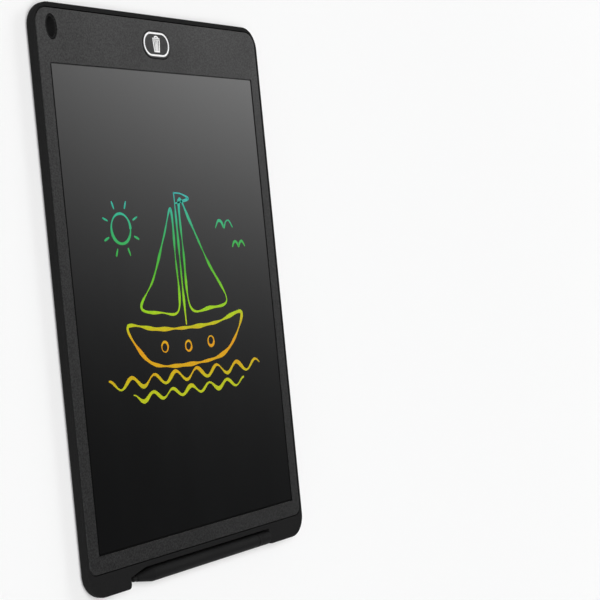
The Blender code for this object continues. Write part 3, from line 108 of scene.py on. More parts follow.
class ShaderGraph:
    """Adds the nodes of one shader or effect and joins them."""

    # Places of the colour sockets on the mix node, which has sockets of the same name for other data.
    MIX_FIRST: int = 6
    MIX_SECOND: int = 7
    MIX_RESULT: int = 2

    def __init__(self, tree: bpy.types.NodeTree) -> None:
        """Starts on a node tree.

        Args:
            tree: The tree that the nodes go into.
        """
        self.tree = tree

    def node(self, kind: str, **settings: object) -> bpy.types.Node:
        """Adds a node.

        Args:
            kind: Blender's name of the node type.
            settings: Properties set on the new node.

        Returns:
            The new node.
        """
        added = self.tree.nodes.new(kind)
        for name, value in settings.items():
            setattr(added, name, value)
        return added

    def feed(self, source: object, target: Socket) -> None:
        """Joins a socket to the target, or gives the target a plain value.

        Args:
            source: A socket, or the value to set.
            target: The input that takes it.
        """
        if isinstance(source, bpy.types.NodeSocket):
            self.tree.links.new(source, target)
        elif target.type == "RGBA" and len(source) == 3:
            target.default_value = (*source, 1.0)
        else:
            target.default_value = source

    def math(self, operation: str, first: object, second: object = 0.0, clamp: bool = False) -> Socket:
        """Joins a sum, product or other step of arithmetic.

        Args:
            operation: Blender's name of the operation.
            first: First value or socket.
            second: Second value or socket.
            clamp: Whether the result stays between 0 and 1.

        Returns:
            The result's socket.
        """
        added = self.node("ShaderNodeMath", operation=operation, use_clamp=clamp)
        self.feed(first, added.inputs[0])
        self.feed(second, added.inputs[1])
        return added.outputs[0]

    def vector_math(self, operation: str, first: object, second: object = None) -> bpy.types.Node:
        """Adds a step of vector arithmetic.

        Args:
            operation: Blender's name of the operation.
            first: First vector or socket.
            second: Second vector or socket, where the operation has one.

        Returns:
            The node, whose outputs hold the result.
        """
        added = self.node("ShaderNodeVectorMath", operation=operation)
        self.feed(first, added.inputs[0])
        if second is not None:
            self.feed(second, added.inputs[1])
        return added

    def span(self, value: Socket, start: float, end: float, low: float = 0.0, high: float = 1.0) -> Socket:
        """Turns a value's range into another one, smoothly.

        Args:
            value: Socket to read.
            start: Value that gives low.
            end: Value that gives high.
            low: Result at the start.
            high: Result at the end.

        Returns:
            The result's socket.
        """
        added = self.node("ShaderNodeMapRange", interpolation_type="SMOOTHSTEP")
        limits = {"Value": value, "From Min": start, "From Max": end, "To Min": low, "To Max": high}
        for name, given in limits.items():
            self.feed(given, added.inputs[name])
        return added.outputs["Result"]

    def mix(self, factor: object, first: object, second: object) -> Socket:
        """Mixes two colours.

        Args:
            factor: Share of the second one.
            first: Colour or socket.
            second: Colour or socket.

        Returns:
            The mixed colour's socket.
        """
        added = self.node("ShaderNodeMix", data_type="RGBA")
        self.feed(factor, added.inputs["Factor"])
        self.feed(first, added.inputs[self.MIX_FIRST])
        self.feed(second, added.inputs[self.MIX_SECOND])
        return added.outputs[self.MIX_RESULT]

    def noise(self, place: Socket, scale: object, detail: float = 2.0, roughness: float = 0.5) -> Socket:
        """Adds soft cloudy noise.

        Args:
            place: Socket with the place.
            scale: Spots per metre.
            detail: Octaves.
            roughness: Weight of the finer octaves.

        Returns:
            Socket with a value from 0 to 1.
        """
        added = self.node("ShaderNodeTexNoise")
        self.feed(place, added.inputs["Vector"])
        self.feed(scale, added.inputs["Scale"])
        self.feed(detail, added.inputs["Detail"])
        self.feed(roughness, added.inputs["Roughness"])
        return added.outputs["Fac"]

    def cells(self, place: Socket, scale: object) -> Socket:
        """Adds the distance to the nearest of scattered points, which makes pits or bubbles.

        Args:
            place: Socket with the place.
            scale: Points per metre.

        Returns:
            Socket with the distance, from 0 at a point.
        """
        added = self.node("ShaderNodeTexVoronoi")
        self.feed(place, added.inputs["Vector"])
        self.feed(scale, added.inputs["Scale"])
        return added.outputs["Distance"]

    def ramp(self, value: Socket, stops: Sequence[tuple[float, Colour]]) -> Socket:
        """Turns a value from 0 to 1 into a colour.

        Args:
            value: Socket to read.
            stops: Places along the ramp with their colours, in order.

        Returns:
            The colour's socket.
        """
        added = self.node("ShaderNodeValToRGB")
        elements = added.color_ramp.elements
        while len(elements) < len(stops):
            elements.new(1.0)
        for element, (place, colour) in zip(elements, stops):
            element.position = place
            element.color = (*colour, 1.0)
        self.feed(value, added.inputs["Fac"])
        return added.outputs["Color"]

    def bump(self, height: Socket, depth: float) -> Socket:
        """Adds relief.

        Args:
            height: Socket with the relief from 0 to 1.
            depth: Its depth in metres.

        Returns:
            Socket with the normal.
        """
        added = self.node("ShaderNodeBump")
        added.inputs["Distance"].default_value = depth
        self.feed(height, added.inputs["Height"])
        return added.outputs["Normal"]


def shaded_material(name: str) -> tuple[Material, ShaderGraph, bpy.types.Node]:
    """Starts a material.

    Args:
        name: The material's name.

    Returns:
        The material, the graph of its nodes and its Principled shader.
    """
    material = bpy.data.materials.new(name)
    material.use_nodes = True
    shader = material.node_tree.nodes["Principled BSDF"]
    return material, ShaderGraph(material.node_tree), shader


class SurfaceEffects:
    """Effects that several finishes share, each a node group made once. Densities are per metre."""

    cloud_share: float = 0.6
    pit_share: float = 0.4
    speckle_density_share: float = 0.45
    speckle_span: Span = (0.32, 0.68)
    rub_samples: int = 4
    rub_span: Span = (0.995, 0.85)
    rub_patch_density: float = 900.0
    rub_patch_span: Span = (0.3, 0.7)
    least_rub: float = 0.35
    wipe_stretch: Point = (1.0, 0.35, 1.0)
    smear_span: Span = (0.35, 0.7)
    speck_density: float = 420.0
    speck_span: Span = (0.075, 0.045)
    upward_span: Span = (0.6, 0.9)
    dust_patch_density: float = 60.0
    dust_patch_span: Span = (0.45, 0.65)

    def __init__(self) -> None:
        """Makes the groups."""
        self.mould_grain = self._group(
            "mould_grain",
            inputs=(("Place", "NodeSocketVector"), ("Grain Size", "NodeSocketFloat")),
            outputs=(("Height", "NodeSocketFloat"), ("Speckle", "NodeSocketFloat")),
            fill=self._fill_mould_grain,
        )
        self.edge_rub = self._group(
            "edge_rub",
            inputs=(("Place", "NodeSocketVector"), ("Reach", "NodeSocketFloat")),
            outputs=(("Mask", "NodeSocketFloat"),),
            fill=self._fill_edge_rub,
        )
        self.handling = self._group(
            "handling",
            inputs=(("Place", "NodeSocketVector"), ("Patch Size", "NodeSocketFloat")),
            outputs=(("Smear", "NodeSocketFloat"), ("Dust", "NodeSocketFloat")),
            fill=self._fill_handling,
        )
        self.brushing = self._group(
            "brushing",
            inputs=(("Place", "NodeSocketVector"), ("Line Scale", "NodeSocketVector")),
            outputs=(("Lines", "NodeSocketFloat"),),
            fill=self._fill_brushing,
        )

    @staticmethod
    def _group(
        name: str,
        inputs: Iterable[tuple[str, str]],
        outputs: Iterable[tuple[str, str]],
        fill: Callable[[ShaderGraph, bpy.types.Node, bpy.types.Node], None],
    ) -> bpy.types.NodeTree:
        """Makes a node group with named inputs and outputs.

        Args:
            name: The group's name.
            inputs: Name and socket type of each input.
            outputs: Name and socket type of each output.
            fill: Adds the nodes between the two.

        Returns:
            The node group.
        """
        tree = bpy.data.node_groups.new(name, "ShaderNodeTree")
        for label, kind in inputs:
            tree.interface.new_socket(label, in_out="INPUT", socket_type=kind)
        for label, kind in outputs:
            tree.interface.new_socket(label, in_out="OUTPUT", socket_type=kind)
        graph = ShaderGraph(tree)
        fill(graph, graph.node("NodeGroupInput"), graph.node("NodeGroupOutput"))
        return tree

    def _fill_mould_grain(self, graph: ShaderGraph, given: bpy.types.Node, result: bpy.types.Node) -> None:
        """Spark-eroded mould texture: rounded pits over soft clouds.

        Args:
            graph: The group's graph.
            given: Its inputs.
            result: Its outputs.
        """
        place = given.outputs["Place"]
        density = graph.math("DIVIDE", 1.0, given.outputs["Grain Size"])
        fine = graph.noise(place, density, detail=3.0, roughness=0.6)
        clouds = graph.math("MULTIPLY", fine, self.cloud_share)
        pits = graph.math("MULTIPLY", graph.cells(place, density), self.pit_share)
        graph.feed(graph.math("ADD", clouds, pits), result.inputs["Height"])
        coarser = graph.math("MULTIPLY", density, self.speckle_density_share)
        coarse = graph.noise(place, coarser, detail=4.0, roughness=0.7)
        graph.feed(graph.span(coarse, *self.speckle_span), result.inputs["Speckle"])

    def _fill_edge_rub(self, graph: ShaderGraph, given: bpy.types.Node, result: bpy.types.Node) -> None:
        """Mask along convex edges, broken up by noise.

        Args:
            graph: The group's graph.
            given: Its inputs.
            result: Its outputs.
        """
        rounded = graph.node("ShaderNodeBevel", samples=self.rub_samples)
        graph.feed(given.outputs["Reach"], rounded.inputs["Radius"])
        surface = graph.node("ShaderNodeNewGeometry")
        facing = graph.vector_math("DOT_PRODUCT", rounded.outputs["Normal"], surface.outputs["Normal"])
        edge = graph.span(facing.outputs["Value"], *self.rub_span)
        clouds = graph.noise(given.outputs["Place"], self.rub_patch_density, detail=3.0)
        patchy = graph.span(clouds, *self.rub_patch_span, self.least_rub, 1.0)
        graph.feed(graph.math("MULTIPLY", edge, patchy, clamp=True), result.inputs["Mask"])

    def _fill_handling(self, graph: ShaderGraph, given: bpy.types.Node, result: bpy.types.Node) -> None:
        """Wiped smears, and specks of dust on what faces up.

        Args:
            graph: The group's graph.
            given: Its inputs.
            result: Its outputs.
        """
        place = given.outputs["Place"]
        density = graph.math("DIVIDE", 1.0, given.outputs["Patch Size"])
        stretched = graph.vector_math("MULTIPLY", place, self.wipe_stretch).outputs["Vector"]
        wiped = graph.noise(stretched, density, detail=5.0, roughness=0.62)
        graph.feed(graph.span(wiped, *self.smear_span), result.inputs["Smear"])
        specks = graph.span(graph.cells(place, self.speck_density), *self.speck_span)
        surface = graph.node("ShaderNodeNewGeometry")
        parts = graph.node("ShaderNodeSeparateXYZ")
        graph.feed(surface.outputs["Normal"], parts.inputs["Vector"])
        upward = graph.span(parts.outputs["Z"], *self.upward_span)
        sparse = graph.span(graph.noise(place, self.dust_patch_density, detail=2.0), *self.dust_patch_span)
        dust = graph.math("MULTIPLY", graph.math("MULTIPLY", specks, upward), sparse)
        graph.feed(dust, result.inputs["Dust"])

    def _fill_brushing(self, graph: ShaderGraph, given: bpy.types.Node, result: bpy.types.Node) -> None:
        """Long fine lines left by rolling or brushing.

        Args:
            graph: The group's graph.
            given: Its inputs.
            result: Its outputs.
        """
        drawn_out = graph.vector_math("MULTIPLY", given.outputs["Place"], given.outputs["Line Scale"])
        lines = graph.noise(drawn_out.outputs["Vector"], 1.0, detail=4.0, roughness=0.65)
        graph.feed(lines, result.inputs["Lines"])

    @staticmethod
    def place(graph: ShaderGraph, group: bpy.types.NodeTree, **values: object) -> bpy.types.Node:
        """Puts a group into a material.

        Args:
            graph: The material's graph.
            group: The group.
            values: Its inputs by name, with _ for a space.

        Returns:
            The group's node.
        """
        added = graph.node("ShaderNodeGroup", node_tree=group)
        coordinates = graph.node("ShaderNodeTexCoord")
        graph.feed(coordinates.outputs["Object"], added.inputs["Place"])
        for name, value in values.items():
            graph.feed(value, added.inputs[name.replace("_", " ")])
        return added


@dataclass(frozen=True)
class MouldedPlastic:
    """Moulded plastic with a fine mould texture, rubbed edges and a trace of handling."""

    name: str
    colour: Colour
    roughness: float
    specular: float
    grain_size: float = 0.00045
    grain_depth: float = 0.000012
    speckle: float = 0.10
    rub: float = 0.10
    rub_reach: float = 0.00025
    rub_gain: float = 1.5
    rub_lift: float = 0.008
    rub_polish: float = 0.12
    patch_size: float = 0.035
    spread: float = 0.03
    dust: float = 0.03
    dust_colour: Colour = (0.45, 0.44, 0.42)

    def make(self, effects: SurfaceEffects) -> Material:
        """Makes the material.

        Args:
            effects: The shared effects.

        Returns:
            The material.
        """
        material, graph, shader = shaded_material(self.name)
        grain = effects.place(graph, effects.mould_grain, Grain_Size=self.grain_size)
        rubbed = effects.place(graph, effects.edge_rub, Reach=self.rub_reach)
        handled = effects.place(graph, effects.handling, Patch_Size=self.patch_size)
        darker = tuple(part * (1 - self.speckle) for part in self.colour)
        lighter = tuple(part * (1 + self.speckle) for part in self.colour)
        colour = graph.mix(grain.outputs["Speckle"], darker, lighter)
        rub_colour = tuple(part * self.rub_gain + self.rub_lift for part in self.colour)
        colour = graph.mix(graph.math("MULTIPLY", rubbed.outputs["Mask"], self.rub), colour, rub_colour)
        dusty = graph.math("MULTIPLY", handled.outputs["Dust"], self.dust)
        colour = graph.mix(dusty, colour, self.dust_colour)
        graph.feed(colour, shader.inputs["Base Color"])
        low, high = self.roughness - self.spread, self.roughness + self.spread
        rough = graph.span(handled.outputs["Smear"], 0.0, 1.0, low, high)
        polished = graph.math("MULTIPLY", rubbed.outputs["Mask"], self.rub_polish)
        graph.feed(graph.math("SUBTRACT", rough, polished), shader.inputs["Roughness"])
        graph.feed(graph.bump(grain.outputs["Height"], self.grain_depth), shader.inputs["Normal"])
        shader.inputs["Specular IOR Level"].default_value = self.specular
        return material


@dataclass(frozen=True)
class PolishedFilm:
    """Smooth plastic film, dark or coloured, with faint wipe marks."""

    name: str
    colour: Colour
    tint: Colour
    roughness: float
    specular: float = 0.5
    smear: float = 0.03
    patch_size: float = 0.06
    wave: float = 0.000001
    wave_size: float = 0.004
    dust: float = 0.05
    dust_colour: Colour = (0.4, 0.4, 0.4)

    def make(self, effects: SurfaceEffects) -> Material:
        """Makes the material.

        Args:
            effects: The shared effects.

        Returns:
            The material.
        """
        material, graph, shader = shaded_material(self.name)
        handled = effects.place(graph, effects.handling, Patch_Size=self.patch_size)
        colour = graph.mix(handled.outputs["Smear"], self.colour, self.tint)
        dusty = graph.math("MULTIPLY", handled.outputs["Dust"], self.dust)
        colour = graph.mix(dusty, colour, self.dust_colour)
        graph.feed(colour, shader.inputs["Base Color"])
        rough = graph.math("MULTIPLY_ADD", handled.outputs["Smear"], self.smear)
        rough.node.inputs[2].default_value = self.roughness
        graph.feed(rough, shader.inputs["Roughness"])
        fine = effects.place(graph, effects.mould_grain, Grain_Size=self.wave_size)
        graph.feed(graph.bump(fine.outputs["Height"], self.wave), shader.inputs["Normal"])
        shader.inputs["Specular IOR Level"].default_value = self.specular
        return material


@dataclass(frozen=True)
class FoamTape:
    """Soft foam or pressed board whose cut face shows its cells as pits, with painted shade in the pits."""

    name: str
    colour: Colour
    shade: Colour
    cell_size: float
    depth: float
    roughness: float = 0.9
    spread: float = 0.05
    specular: float = 0.2
    pit_shade_span: Span = (0.1, 0.6)
    speckle: float = 0.3

    def make(self, effects: SurfaceEffects) -> Material:
        """Makes the material.

        Args:
            effects: The shared effects.

        Returns:
            The material.
        """
        material, graph, shader = shaded_material(self.name)
        grain = effects.place(graph, effects.mould_grain, Grain_Size=self.cell_size)
        coordinates = graph.node("ShaderNodeTexCoord")
        bubbles = graph.cells(coordinates.outputs["Object"], 1 / self.cell_size)
        # Painted shade: the colour darkens towards the middle of each cell, in the pits that the bump makes.
        colour = graph.mix(graph.span(bubbles, *self.pit_shade_span), self.shade, self.colour)
        colour = graph.mix(graph.math("MULTIPLY", grain.outputs["Speckle"], self.speckle), colour, self.shade)
        graph.feed(colour, shader.inputs["Base Color"])
        low, high = self.roughness - self.spread, self.roughness + self.spread
        graph.feed(graph.span(grain.outputs["Speckle"], 0.0, 1.0, low, high), shader.inputs["Roughness"])
        graph.feed(graph.bump(bubbles, self.depth), shader.inputs["Normal"])
        shader.inputs["Specular IOR Level"].default_value = self.specular
        return material


@dataclass(frozen=True)
class WorkedMetal:
    """Bare or plated metal with brushed lines and dulled patches."""

    name: str
    colour: Colour
    roughness: float
    lines: Axis = Axis.ACROSS
    line_pitch: float = 0.00012
    line_stretch_share: float = 0.04
    line_span: Span = (0.3, 0.7)
    depth: float = 0.000003
    patch_size: float = 0.006
    dull_share: float = 0.72
    smoother: float = 0.06
    rougher: float = 0.1

    def make(self, effects: SurfaceEffects) -> Material:
        """Makes the material.

        Args:
            effects: The shared effects.

        Returns:
            The material.
        """
        material, graph, shader = shaded_material(self.name)
        scale = [1 / self.line_pitch] * 3
        scale[self.lines.value] *= self.line_stretch_share
        brushed = effects.place(graph, effects.brushing, Line_Scale=tuple(scale))
        handled = effects.place(graph, effects.handling, Patch_Size=self.patch_size)
        dull = tuple(part * self.dull_share for part in self.colour)
        graph.feed(graph.mix(handled.outputs["Smear"], self.colour, dull), shader.inputs["Base Color"])
        low, high = self.roughness - self.smoother, self.roughness + self.rougher
        rough = graph.span(brushed.outputs["Lines"], *self.line_span, low, high)
        graph.feed(rough, shader.inputs["Roughness"])
        graph.feed(graph.bump(brushed.outputs["Lines"], self.depth), shader.inputs["Normal"])
        shader.inputs["Metallic"].default_value = 1.0
        return material


@dataclass(frozen=True)
class BoardLaminate:
    """Circuit board: green mask over copper tracks, with the glass weave just showing."""

    name: str = "board_laminate"
    mask: Colour = (0.010, 0.085, 0.030)
    over_copper: Colour = (0.030, 0.170, 0.055)
    track_pitch: float = 0.0012
    tracks_per_route: int = 2
    track_span: Span = (0.25, 0.45)
    track_rise: float = 0.7
    weave_pitch: float = 0.0005
    weave_rise: float = 0.1
    grain_size: float = 0.0003
    depth: float = 0.00004
    smooth: float = 0.32
    rough: float = 0.42

    def make(self, effects: SurfaceEffects) -> Material:
        """Makes the material.

        Args:
            effects: The shared effects.

        Returns:
            The material.
        """
        material, graph, shader = shaded_material(self.name)
        coordinates = graph.node("ShaderNodeTexCoord")
        place = coordinates.outputs["Object"]
        routes = graph.node("ShaderNodeTexVoronoi", distance="MANHATTAN", feature="F1")
        graph.feed(place, routes.inputs["Vector"])
        graph.feed(1 / self.track_pitch / self.tracks_per_route, routes.inputs["Scale"])
        turns = graph.math("MULTIPLY", routes.outputs["Distance"], self.tracks_per_route * 2 * math.pi)
        tracks = graph.span(graph.math("SINE", turns), *self.track_span)
        graph.feed(graph.mix(tracks, self.mask, self.over_copper), shader.inputs["Base Color"])
        weave = graph.node("ShaderNodeTexChecker")
        graph.feed(place, weave.inputs["Vector"])
        graph.feed(1 / self.weave_pitch, weave.inputs["Scale"])
        grain = effects.place(graph, effects.mould_grain, Grain_Size=self.grain_size)
        raised = graph.math("MULTIPLY", tracks, self.track_rise)
        woven = graph.math("MULTIPLY", weave.outputs["Fac"], self.weave_rise)
        graph.feed(graph.bump(graph.math("ADD", raised, woven), self.depth), shader.inputs["Normal"])
        rough = graph.span(grain.outputs["Speckle"], 0.0, 1.0, self.smooth, self.rough)
        graph.feed(rough, shader.inputs["Roughness"])
        return material


@dataclass(frozen=True)
class CeramicBlock:
    """Chip capacitor: fired ceramic between tinned ends."""

    name: str = "fired_ceramic"
    colour: Colour = (0.42, 0.28, 0.16)
    tin: Colour = (0.62, 0.61, 0.58)
    shade_share: float = 0.8
    end_span: Span = (0.30, 0.315)
    grain_size: float = 0.00015
    depth: float = 0.000006
    smooth: float = 0.35
    rough: float = 0.55

    def make(self, effects: SurfaceEffects) -> Material:
        """Makes the material.

        Args:
            effects: The shared effects.

        Returns:
            The material.
        """
        material, graph, shader = shaded_material(self.name)
        coordinates = graph.node("ShaderNodeTexCoord")
        parts = graph.node("ShaderNodeSeparateXYZ")
        graph.feed(coordinates.outputs["Generated"], parts.inputs["Vector"])
        from_middle = graph.math("ABSOLUTE", graph.math("SUBTRACT", parts.outputs["X"], 0.5))
        tinned = graph.span(from_middle, *self.end_span)
        grain = effects.place(graph, effects.mould_grain, Grain_Size=self.grain_size)
        shade = tuple(part * self.shade_share for part in self.colour)
        body = graph.mix(grain.outputs["Speckle"], shade, self.colour)
        graph.feed(graph.mix(tinned, body, self.tin), shader.inputs["Base Color"])
        graph.feed(tinned, shader.inputs["Metallic"])
        rough = graph.span(grain.outputs["Speckle"], 0.0, 1.0, self.smooth, self.rough)
        graph.feed(rough, shader.inputs["Roughness"])
        graph.feed(graph.bump(grain.outputs["Height"], self.depth), shader.inputs["Normal"])
        return material


@dataclass(frozen=True)
class PadPrint:
    """Opaque white ink, a little uneven where the pad lifted."""

    name: str = "white_print"
    colour: Colour = (0.93, 0.93, 0.93)
    thin: Colour = (0.80, 0.80, 0.80)
    thin_span: Span = (0.55, 1.0)
    grain_size: float = 0.0006
    depth: float = 0.000004
    smooth: float = 0.5
    rough: float = 0.65
    specular: float = 0.15

    def make(self, effects: SurfaceEffects) -> Material:
        """Makes the material.

        Args:
            effects: The shared effects.

        Returns:
            The material.
        """
        material, graph, shader = shaded_material(self.name)
        grain = effects.place(graph, effects.mould_grain, Grain_Size=self.grain_size)
        uneven = graph.span(grain.outputs["Speckle"], *self.thin_span)
        graph.feed(graph.mix(uneven, self.colour, self.thin), shader.inputs["Base Color"])
        rough = graph.span(grain.outputs["Speckle"], 0.0, 1.0, self.smooth, self.rough)
        graph.feed(rough, shader.inputs["Roughness"])
        graph.feed(graph.bump(grain.outputs["Height"], self.depth), shader.inputs["Normal"])
        shader.inputs["Specular IOR Level"].default_value = self.specular
        return material


@dataclass(frozen=True)
class DrawnLine:
    """Line pressed into the film, whose colour changes with its height on the screen."""

    name: str = "drawn_line"
    low: float = -0.056
    high: float = 0.056
    stops: tuple[tuple[float, Colour], ...] = (
        (0.06, (0.515, 0.570, 0.010)),
        (0.14, (0.701, 0.402, 0.003)),
        (0.24, (0.790, 0.342, 0.003)),
        (0.31, (0.680, 0.440, 0.002)),
        (0.37, (0.445, 0.617, 0.002)),
        (0.46, (0.260, 0.640, 0.003)),
        (0.58, (0.095, 0.490, 0.012)),
        (0.68, (0.032, 0.430, 0.045)),
        (0.78, (0.013, 0.430, 0.140)),
        (0.87, (0.010, 0.460, 0.290)),
        (0.96, (0.013, 0.460, 0.430)),
    )
    drift: float = 0.010
    drift_density: float = 70.0
    grain_size: float = 0.0012
    speckle: float = 0.12
    pit_colour: Colour = (0.02, 0.06, 0.01)
    depth: float = 0.000002
    smooth: float = 0.12
    rough: float = 0.2
    specular: float = 0.4

    def make(self, effects: SurfaceEffects) -> Material:
        """Makes the material.

        Args:
            effects: The shared effects.

        Returns:
            The material.
        """
        material, graph, shader = shaded_material(self.name)
        coordinates = graph.node("ShaderNodeTexCoord")
        parts = graph.node("ShaderNodeSeparateXYZ")
        graph.feed(coordinates.outputs["Object"], parts.inputs["Vector"])
        clouds = graph.noise(coordinates.outputs["Object"], self.drift_density, detail=1.0)
        drift = graph.math("SUBTRACT", graph.math("MULTIPLY", clouds, self.drift), self.drift / 2)
        height = graph.math("ADD", parts.outputs["Y"], drift)
        above = graph.math("SUBTRACT", height, self.low)
        along = graph.math("DIVIDE", above, self.high - self.low, clamp=True)
        colour = graph.ramp(along, self.stops)
        pressed = effects.place(graph, effects.mould_grain, Grain_Size=self.grain_size)
        pitted = graph.math("MULTIPLY", pressed.outputs["Speckle"], self.speckle)
        graph.feed(graph.mix(pitted, colour, self.pit_colour), shader.inputs["Base Color"])
        rough = graph.span(pressed.outputs["Speckle"], 0.0, 1.0, self.smooth, self.rough)
        graph.feed(rough, shader.inputs["Roughness"])
        graph.feed(graph.bump(pressed.outputs["Height"], self.depth), shader.inputs["Normal"])
        shader.inputs["Specular IOR Level"].default_value = self.specular
        return material


@dataclass(frozen=True)
class SoftEdges:
    """Small rounds that moulding leaves along the edges of a carried-over node."""

    width: float = 0.00015
    steps: int = 2
    from_angle: float = math.radians(40)
    weld: float = 0.000001
    flat_angle: float = math.radians(0.5)

    def give(self, node: Piece) -> None:
        """Adds the rounds.

        Args:
            node: The node's object.
        """
        welded = node.modifiers.new("weld", "WELD")
        welded.merge_threshold = self.weld
        flats = node.modifiers.new("flats", "DECIMATE")
        flats.decimate_type = "DISSOLVE"
        flats.angle_limit = self.flat_angle
        rounds = node.modifiers.new("rounds", "BEVEL")
        rounds.width = self.width
        rounds.segments = self.steps
        rounds.limit_method = "ANGLE"
        rounds.angle_limit = self.from_angle
        shading = node.modifiers.new("shading", "WEIGHTED_NORMAL")
        shading.keep_sharp = False


class Workshop:
    """Dresses nodes of the frame and makes new pieces."""

    sharp_from: float = math.radians(35)

    def __init__(self, frame: dict) -> None:
        """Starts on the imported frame.

        Args:
            frame: What the frame loader returned.
        """
        self.nodes = frame["nodes"]
        self.effects = SurfaceEffects()
        self.materials: dict[str, Material] = {}

    def material(self, finish: object) -> Material:
        """Makes a finish's material the first time that it is wanted.

        Args:
            finish: The finish.

        Returns:
            The material.
        """
        if finish.name not in self.materials:
            self.materials[finish.name] = finish.make(self.effects)
        return self.materials[finish.name]

    def dress(self, names: Iterable[str], finish: object, edges: SoftEdges | None = None) -> None:
        """Gives carried-over nodes a finish.

        Args:
            names: The nodes.
            finish: Their finish.
            edges: Rounds for their edges, or None.
        """
        for name in names:
            node = self.nodes[name]
            for slot in node.material_slots:
                slot.material = self.material(finish)
            if edges:
                edges.give(node)
            REPORT.info("%s: %s", name, finish.name)

    def piece(
        self, name: str, points: Sequence[Point], faces: Sequence[Sequence[int]], finish: object, body: Body
    ) -> Piece:
        """Makes a new piece that rides on a body.

        Args:
            name: The piece's name.
            points: Its vertices.
            faces: Vertex numbers of each face.
            finish: Its finish.
            body: The body that carries it.

        Returns:
            The piece's object.
        """
        mesh = bpy.data.meshes.new(name)
        mesh.from_pydata(points, [], faces)
        mesh.validate()
        mesh.shade_smooth()
        mesh.set_sharp_from_angle(angle=self.sharp_from)
        made = bpy.data.objects.new(name, mesh)
        bpy.context.scene.collection.objects.link(made)
        made.data.materials.append(self.material(finish))
        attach(made, body.value)
        REPORT.info("%s: %d faces, %s", name, len(faces), finish.name)
        return made


@dataclass(frozen=True)
class Stroke:
    """One line drawn on a flat face: its path in millimetres and its width."""

    path: tuple[FlatPoint, ...]
    width: float
    closed: bool = False
    curved: bool = True


@dataclass(frozen=True)
class LinePen:
    """Draws strokes as thin raised ribbons on a flat face."""

    low: float
    high: float
    step: float = 0.6
    taper: float = 0.45
    taper_length: float = 5.0
    taper_power: float = 0.6
    flutter: float = 0.52
    quick_flutter: float = 0.31
    slow_flutter: float = 0.13
    least_corner: float = 0.5
    least_pieces: int = 2

    def draw(self, shop: Workshop, name: str, strokes: Sequence[Stroke], finish: object, body: Body) -> Piece:
        """Makes one piece of several strokes.

        Args:
            shop: Makes the piece.
            name: The piece's name.
            strokes: The lines.
            finish: Their finish.
            body: The body that carries them.

        Returns:
            The piece's object.
        """
        points: list[Point] = []
        faces: list[tuple[int, ...]] = []
        for stroke in strokes:
            self._add(stroke, points, faces)
        return shop.piece(name, points, faces, finish, body)

    def _add(self, stroke: Stroke, points: list[Point], faces: list[tuple[int, ...]]) -> None:
        """Adds one stroke's ribbon.

        Args:
            stroke: The line.
            points: Vertices so far, added to.
            faces: Faces so far, added to.
        """
        path = self._curve(stroke) if stroke.curved else list(stroke.path)
        section = ((1, self.low), (1, self.high), (-1, self.high), (-1, self.low))
        corners = len(section)
        count = len(path)
        start = len(points)
        travelled = 0.0
        lengths = [0.0]
        for before, after in zip(path, path[1:]):
            travelled += math.dist(before, after)
            lengths.append(travelled)
        for index, (x, y) in enumerate(path):
            before = path[index - 1] if index or stroke.closed else path[0]
            after = path[(index + 1) % count] if index < count - 1 or stroke.closed else path[-1]
            side = self._side(before, (x, y), after)
            half = stroke.width / 2 * self._swell(stroke, lengths[index], travelled)
            for sign, height in section:
                points.append(((x + sign * side[0] * half) * MM, (y + sign * side[1] * half) * MM, height))
        spans = count if stroke.closed else count - 1
        for index in range(spans):
            here = start + index * corners
            there = start + (index + 1) % count * corners
            for corner in range(corners):
                following = (corner + 1) % corners
                faces.append((here + corner, here + following, there + following, there + corner))
        if not stroke.closed:
            last = start + (count - 1) * corners
            faces.append(tuple(start + corner for corner in reversed(range(corners))))
            faces.append(tuple(last + corner for corner in range(corners)))

    def _swell(self, stroke: Stroke, along: float, length: float) -> float:
        """Share of a stroke's width at a place along it.

        Args:
            stroke: The line.
            along: Distance from its start.
            length: Its whole length.

        Returns:
            The share.
        """
        if not stroke.curved:
            return 1.0
        first_x, first_y = stroke.path[0]
        quick = math.sin(along * self.quick_flutter + first_x)
        slow = math.sin(along * self.slow_flutter + first_y)
        share = 1 + self.flutter * (quick * slow)
        if stroke.closed:
            return share
        from_end = min(along, length - along) / self.taper_length
        return share * (self.taper + (1 - self.taper) * min(1.0, max(0.0, from_end)) ** self.taper_power)

    def _side(self, before: FlatPoint, here: FlatPoint, after: FlatPoint) -> FlatPoint:
        """Direction across the line at a point, lengthened at a corner so that the width holds.

        Args:
            before: The point before it on the path.
            here: The point.
            after: The point after it.

        Returns:
            Its parts along X and Y, of length 1 where the line is straight.
        """
        first = Vector((here[0] - before[0], here[1] - before[1]))
        second = Vector((after[0] - here[0], after[1] - here[1]))
        first = first.normalized() if first.length > TINY else second.normalized()
        second = second.normalized() if second.length > TINY else first
        across = Vector((-first.y - second.y, first.x + second.x))
        if across.length < TINY:
            across = Vector((-first.y, first.x))
        across.normalize()
        reach = max(self.least_corner, across.dot(Vector((-first.y, first.x))))
        return across.x / reach, across.y / reach

    def _curve(self, stroke: Stroke) -> list[FlatPoint]:
        """Smooth curve through the path's points.

        Args:
            stroke: The line.

        Returns:
            Points along the curve, about a step apart.
        """
        path = stroke.path
        count = len(path)
        if stroke.closed:
            controls = [path[-1], *path, path[0], path[1]]
            spans = count
        else:
            controls = [path[0], *path, path[-1]]
            spans = count - 1
        curve: list[FlatPoint] = []
        for index in range(spans):
            before, first, second, after = (Vector(controls[index + offset]) for offset in range(4))
            pieces = max(self.least_pieces, round((second - first).length / self.step))
            for piece in range(pieces):
                share = piece / pieces
                linear = second - before
                square = 2 * before - 5 * first + 4 * second - after
                cube = 3 * first - before - 3 * second + after
                spot = (2 * first + linear * share + square * share**2 + cube * share**3) / 2
                curve.append((spot.x, spot.y))
        if not stroke.closed:
            curve.append(path[-1])
        return curve


